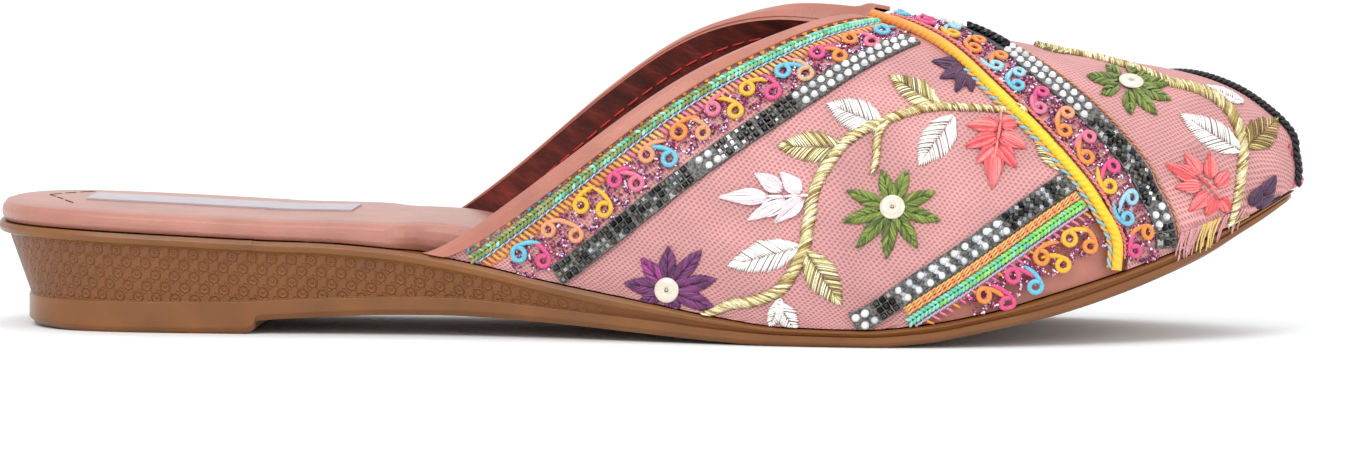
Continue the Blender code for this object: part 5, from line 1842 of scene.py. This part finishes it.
    def finish(self):
        """The stitches as meshes, and again as their mirror image on the inner side."""
        made = {}
        for thread, groups in self.sewn.items():
            paths, rise, radii, colours, mirrored = (np.concatenate(part) for part in zip(*groups))
            pairs = on_vamp(paths, self.grid)
            batches = []
            for mirror in (1.0, -1.0):
                at, girth = pairs[..., 0], pairs[..., 1] * mirror
                keep = np.ones(len(at), bool) if mirror > 0 else mirrored & inner_side(at, girth)
                at, girth = at[keep], girth[keep]
                height = top_height(at, girth) if mirror > 0 else over_high(at, girth)
                points = vamp(at, girth, height + rise[keep])
                batches.append(thread_mesh(points, normal_at(at, girth), radii[keep], colours[keep],
                                           sides=5, flat=0.8))
            made[thread] = batches
        return made


def inner_side(at, girth):
    """The mirrored stitches that fit on the upper strap, between its stone tape and the toe's cord."""
    clear = (at > COLLAR_AT(girth) + 22.0) & (at < OVER_FRONT_AT(girth) - 4.0) & (girth > 0.16)
    return clear.all(axis=1)


WHITE_SILK = ["F6F3F0", "FBFAF8", "ECE6E0", "F3EEEA"]
BLUSH_SILK = ["F6E6EA", "FAF0F2", "F0DCE2"]
GOLD_GREEN = ["E2D59C", "F1E8BE", "C2B070", "FAF4D6", "9A8C4E"]
GOLD = ["D9C78C", "F1E8BE", "BFA566", "FAF4D6", "9A7E42", "E4D6A0"]
OLIVE = ["5C6E1C", "6E8228", "48581A", "8A9A3C"]
PURPLE = ["5E1F56", "702A66", "4C1846", "7E3472"]
MAGENTA = ["96307E", "A83C8C", "842670"]
CORAL = ["EE5A5E", "F4787A", "E24C54", "F08A86"]
PLUM = ["4E2048", "5E2E58", "42183E"]


def lower_strap_motifs(work):
    """The flowers, leaves, sprig and vine between the stone tapes of the lower strap."""
    work.vine([(706, 316), (730, 306), (758, 301), (778, 292), (795, 270), (804, 250), (809, 225),
               (815, 192), (832, 160),
               (850, 140), (880, 124), (910, 113), (940, 108), (975, 109), (1003, 111), (1026, 111)],
              [8, 11, 12, 13, 13, 13, 13, 12, 12, 11, 10, 9, 8, 7, 6, 5], GOLD)
    work.vine([(884, 124), (878, 140), (877, 158), (874, 173)], [10, 9, 8, 6], GOLD)
    for base, tip, width in (((802, 248), (728, 267), 32), ((884, 127), (827, 105), 33),
                             ((954, 117), (919, 167), 33),
                             ((778, 303), (798, 335), 20), ((782, 300), (770, 330), 16)):
        work.leaf("silk", base, tip, width, WHITE_SILK)
    for base, tip, width in (((845, 149), (777, 147), 31), ((941, 108), (889, 76), 26),
                             ((806, 252), (842, 307), 32)):
        work.leaf("gold", base, tip, width, GOLD_GREEN, radius=0.19)
    for base, tip in (((770, 198), (719, 198)), ((783, 192), (755, 174)), ((801, 195), (781, 173)),
                      ((788, 201), (748, 221)), ((804, 200), (775, 224))):
        work.petal("silk", base, tip, 16, BLUSH_SILK)
    work.vein("silk", [(768, 198), (784, 198), (800, 197), (816, 197)], BLUSH_SILK)
    work.flower((893, 209), [(882, 171), (908, 171), (936, 193), (941, 222), (918, 249), (887, 260),
                             (857, 249), (843, 223),
                             (847, 192)], 14, OLIVE)
    work.flower((668, 291), [(669, 247), (702, 251), (717, 280), (715, 309), (677, 314), (640, 305),
                             (625, 284)], 16, PURPLE,
                inner=7)
    work.flower((668, 291), [(642, 259)], 16, MAGENTA + PURPLE[:1], inner=7)
    for base, tip, width in (((1000, 128), (967, 126), 15), ((999, 137), (966, 148), 16),
                             ((997, 147), (977, 164), 14),
                             ((995, 150), (993, 190), 18), ((998, 146), (1017, 169), 15),
                             ((1000, 136), (1027, 149), 16),
                             ((1001, 126), (1019, 124), 15)):
        work.petal("silk", base, tip, width, CORAL, strands=10)
    work.vein("silk", [(1001, 112), (1001, 124), (998, 142), (995, 160)], CORAL)
    for tip in ((932, 62), (940, 79), (956, 93), (972, 93)):
        work.petal("silk", (968, 68), tip, 15, PLUM, strands=9)
    work.leaf("gold", (1060, 172), (1034, 128), 20, GOLD_GREEN, radius=0.19)


def upper_strap_motifs(work):
    """The flowers, leaves and vine over the toe."""
    work.flower((1127, 83), [(1087, 77), (1106, 67), (1134, 65), (1156, 73), (1173, 84), (1171, 101),
                             (1157, 116), (1131, 116),
                             (1101, 95)], 12.5, OLIVE, inner=9)
    work.vine([(1036, 46), (1062, 52), (1090, 57), (1118, 64), (1146, 73), (1170, 83), (1192, 88),
               (1214, 97), (1230, 112),
               (1239, 130), (1243, 152), (1241, 178), (1236, 205), (1229, 228)],
              [1.5, 2.2, 3, 4.5, 6, 8, 9.5, 11, 11, 11, 11, 10, 9, 5], GOLD)
    work.leaf("gold", (1070, 54), (1034, 46), 4.5, GOLD_GREEN, radius=0.19)
    work.leaf("silk", (1242, 153), (1180, 115), 28, WHITE_SILK)
    work.leaf("silk", (1243, 104), (1206, 87), 12, WHITE_SILK)
    work.leaf("gold", (1246, 148), (1278, 119), 32, ["A08A4A", "BBA566", "8C7638", "D8C68C"], slant=0.7,
              radius=0.19)
    for base, tip, width in (((1196, 180), (1166, 165), 14), ((1200, 176), (1185, 154), 13),
                             ((1210, 180), (1210, 154), 13),
                             ((1202, 187), (1175, 188), 13), ((1209, 193), (1189, 212), 14),
                             ((1215, 198), (1206, 217), 13),
                             ((1216, 187), (1229, 172), 13), ((1220, 200), (1229, 214), 12)):
        work.petal("silk", base, tip, width, CORAL, strands=9)
    work.vein("silk", [(1198, 178), (1210, 188), (1220, 200)], CORAL)
    for base, tip in (((1250, 206), (1262, 186)), ((1256, 208), (1274, 196)), ((1262, 196), (1276, 176))):
        work.petal("silk", base, tip, 13, PLUM)
    work.vein("silk", [(1177, 252), (1184, 250), (1194, 246)], ["CC908E"])


def frayed_ends():
    """Loose threads of the net that hang over the sole's lip beside the toe, and gilt ends among them."""
    rng = np.random.default_rng(61)
    x = np.concatenate([np.linspace(235.8, 239.2, 12), np.linspace(239.4, 242.4, 8),
                        np.linspace(243.6, 247.4, 6)])
    x = x + rng.normal(0.0, 0.15, len(x))
    gilt = (np.arange(len(x)) >= 12) & (np.arange(len(x)) < 20)
    drop = np.where(gilt, rng.uniform(0.8, 2.4, len(x)), rng.uniform(0.1, 1.9, len(x)))
    width = column(SOLE, "x", "lateral")
    start = vamp(x, -0.93, over_high(x, -0.93) + 0.15)
    end_x = x + rng.normal(-0.5, 0.5, len(x))
    lip = np.stack([(x + end_x) / 2, -width(x) - 0.35, SEAT(x) + 0.7], axis=-1)
    end = np.stack([end_x, -width(end_x) - 0.5, SEAT(end_x) - drop], axis=-1)
    share = np.linspace(0.0, 1.0, 7)[None, :, None]
    left = 1 - share
    paths = start[:, None] * left ** 2 + 2 * lip[:, None] * share * left + end[:, None] * share ** 2
    paths[..., 1] = np.minimum(paths[..., 1], -width(paths[..., 0]) - 0.3)
    colours = shaded(rng, [from_hex("E9C87A") if one else from_hex("D79A98") for one in gilt])
    threads = thread_mesh(paths, np.broadcast_to([0.0, -1.0, 0.0], paths.shape),
                          np.linspace(0.3, 0.14, 7), colours)
    trim("frayed_threads", [threads], silk_finish())


def embroidery():
    """Sews the motifs of both straps, and their mirror image on the inner side."""
    work = Needlework()
    lower_strap_motifs(work)
    work.both_sides = False
    upper_strap_motifs(work)
    made = work.finish()
    trim("silk_motifs", made["silk"], dyed_finish("satin stitched rayon silk", 0.34, Sheen_Weight=0.15))
    trim("gold_motifs", made["gold"], dyed_finish("gilt wire thread", 0.36, fibre=0.25, Metallic=0.3))
    sequins(work.grid)
    frayed_ends()


def sequins(grid):
    """Cupped pearl sequins at the flowers' hearts, each held by crossed threads."""
    pairs = on_vamp([(893, 209), (668, 291), (1131, 84)], grid)
    pairs = np.concatenate([pairs, pairs * [1.0, -1.0]])
    at, girth = pairs[:-1].T
    height = np.where(girth < 0, top_height(at, girth), over_high(at, girth))
    origins = vamp(at, girth, height + 0.75)
    normal = normal_at(at, girth)
    along = vamp_slopes(at, girth)[0]
    along -= (along * normal).sum(-1, keepdims=True) * normal
    along /= np.linalg.norm(along, axis=-1, keepdims=True)
    axes = np.stack([along, np.cross(normal, along), normal], axis=1)
    pearl = dyed_finish("pearl sequin", 0.16, fibre=0.0, Metallic=0.25, Coat_Weight=0.5)
    colours = np.array([from_hex("DDD3C0")] * len(at))
    trim("pearl_sequins", [copies(unit("disc"), origins, scaled(axes, 5.0, 5.0, 9.0), colours)], pearl)
    ties = []
    for turn in (0.5, 1.7, 2.9):
        way = math.cos(turn) * axes[:, 0] + math.sin(turn) * axes[:, 1]
        q = np.linspace(0.0, 1.0, 5)[None, :, None]
        path = origins[:, None] + way[:, None] * (q * 2.7 - 0.2) + normal[:, None] * (0.25 - 0.25 * q)
        ties.append(thread_mesh(path, normal[:, None] + 0 * path, 0.11,
                                np.array([from_hex("D9CDB8")] * len(at))))
    trim("sequin_ties", ties, dyed_finish("sewing cotton", 0.6))


def insole_slits():
    """The dashes cut in a chevron through the insole's cover at the heel, drawn as flat dark strands:
    painted shade in the slits.
    """
    apex, arm = np.array([10.0, 0.0]), np.array([7.0, 15.0])
    dashes = [(0.02, 0.27), (0.34, 0.58), (0.66, 1.0)]
    paths = []
    for side in (-1.0, 1.0):
        for low, high in dashes:
            share = np.linspace(low, high, STITCH_POINTS)[:, None]
            x, y = (apex + share * arm * [1.0, side]).T
            paths.append(np.stack([x, y, insole_top(x, y) + 0.02], axis=-1))
    up = np.broadcast_to([0.0, 0.0, 1.0], np.shape(paths))
    # painted shade: dark brown strands lie where the slits open
    slits = thread_mesh(paths, up, [0.15, 0.3, 0.3, 0.3, 0.3, 0.15], [from_hex("6E3B30")] * len(paths),
                        flat=0.25)
    replace_nodes(joined("insole_slits", [slits], dyed_finish("cut leatherette edge", 0.7)))


class MULE_OT_stage(bpy.types.Operator):
    """Builds the floor, the surround, the lamps and the photo's camera"""

    bl_idname = "mule.stage"
    bl_label = "Studio Stage"

    def execute(self, context):
        stage()
        photo_camera()
        return {"FINISHED"}


class MULE_OT_sole(bpy.types.Operator):
    """Builds the moulded sole with its embossed wall"""

    bl_idname = "mule.sole"
    bl_label = "Moulded Sole"

    def execute(self, context):
        sole_piece()
        return {"FINISHED"}


class MULE_OT_insole(bpy.types.Operator):
    """Builds the padded insole, its blank label and its slits"""

    bl_idname = "mule.insole"
    bl_label = "Padded Insole"

    def execute(self, context):
        insole_piece()
        label_piece()
        insole_slits()
        return {"FINISHED"}


class MULE_OT_vamp(bpy.types.Operator):
    """Builds the hollow leather vamp with its velvet lining"""

    bl_idname = "mule.vamp"
    bl_label = "Leather Vamp"

    def execute(self, context):
        vamp_piece()
        velvet_stitches()
        return {"FINISHED"}


class MULE_OT_straps(bpy.types.Operator):
    """Builds the two crossing straps of embroidery net"""

    bl_idname = "mule.straps"
    bl_label = "Net Straps"

    def execute(self, context):
        strap_pieces()
        return {"FINISHED"}


class MULE_OT_edges(bpy.types.Operator):
    """Builds the collar's turned leather edges and the whipped piping where the straps cross"""

    bl_idname = "mule.edges"
    bl_label = "Turned Edges and Piping"

    def execute(self, context):
        bindings()
        piping_piece()
        return {"FINISHED"}


class MULE_OT_borders(bpy.types.Operator):
    """Builds the borders of braid, curls, glitter and stone tape along the straps' edges"""

    bl_idname = "mule.borders"
    bl_label = "Embroidered Borders"

    def execute(self, context):
        for border in (rear_border, front_border, crossing_border, inner_border, toe_border):
            border()
        return {"FINISHED"}


class MULE_OT_embroidery(bpy.types.Operator):
    """Sews the flowers, leaves, sprigs and vines, and their sequins"""

    bl_idname = "mule.embroidery"
    bl_label = "Embroidered Motifs"

    def execute(self, context):
        embroidery()
        return {"FINISHED"}


class MULE_PT_pieces(bpy.types.Panel):
    """Lists the mule's sizes, colours and pieces"""

    bl_idname = "MULE_PT_pieces"
    bl_label = "Embroidered Mule"
    bl_space_type = "VIEW_3D"
    bl_region_type = "UI"
    bl_category = "Mule"

    def draw(self, context):
        for group in (context.scene.mule_sizes, context.scene.mule_colours):
            for name in group.__annotations__:
                self.layout.prop(group, name)
        for step in STEPS:
            self.layout.operator(step.bl_idname)


STEPS = (
    MULE_OT_stage,
    MULE_OT_sole,
    MULE_OT_insole,
    MULE_OT_vamp,
    MULE_OT_straps,
    MULE_OT_edges,
    MULE_OT_borders,
    MULE_OT_embroidery,
)
CLASSES = (MuleColours, MuleSizes, *STEPS, MULE_PT_pieces)


def register():
    for made in CLASSES:
        bpy.utils.register_class(made)
    bpy.types.Scene.mule_colours = PointerProperty(type=MuleColours)
    bpy.types.Scene.mule_sizes = PointerProperty(type=MuleSizes)


def unregister():
    del bpy.types.Scene.mule_sizes
    del bpy.types.Scene.mule_colours
    for made in reversed(CLASSES):
        bpy.utils.unregister_class(made)


def main():
    register()
    bpy.ops.object.select_all(action="DESELECT")
    for step in STEPS:
        getattr(bpy.ops.mule, step.bl_idname.split(".")[1])()


if __name__ == "__main__":
    main()
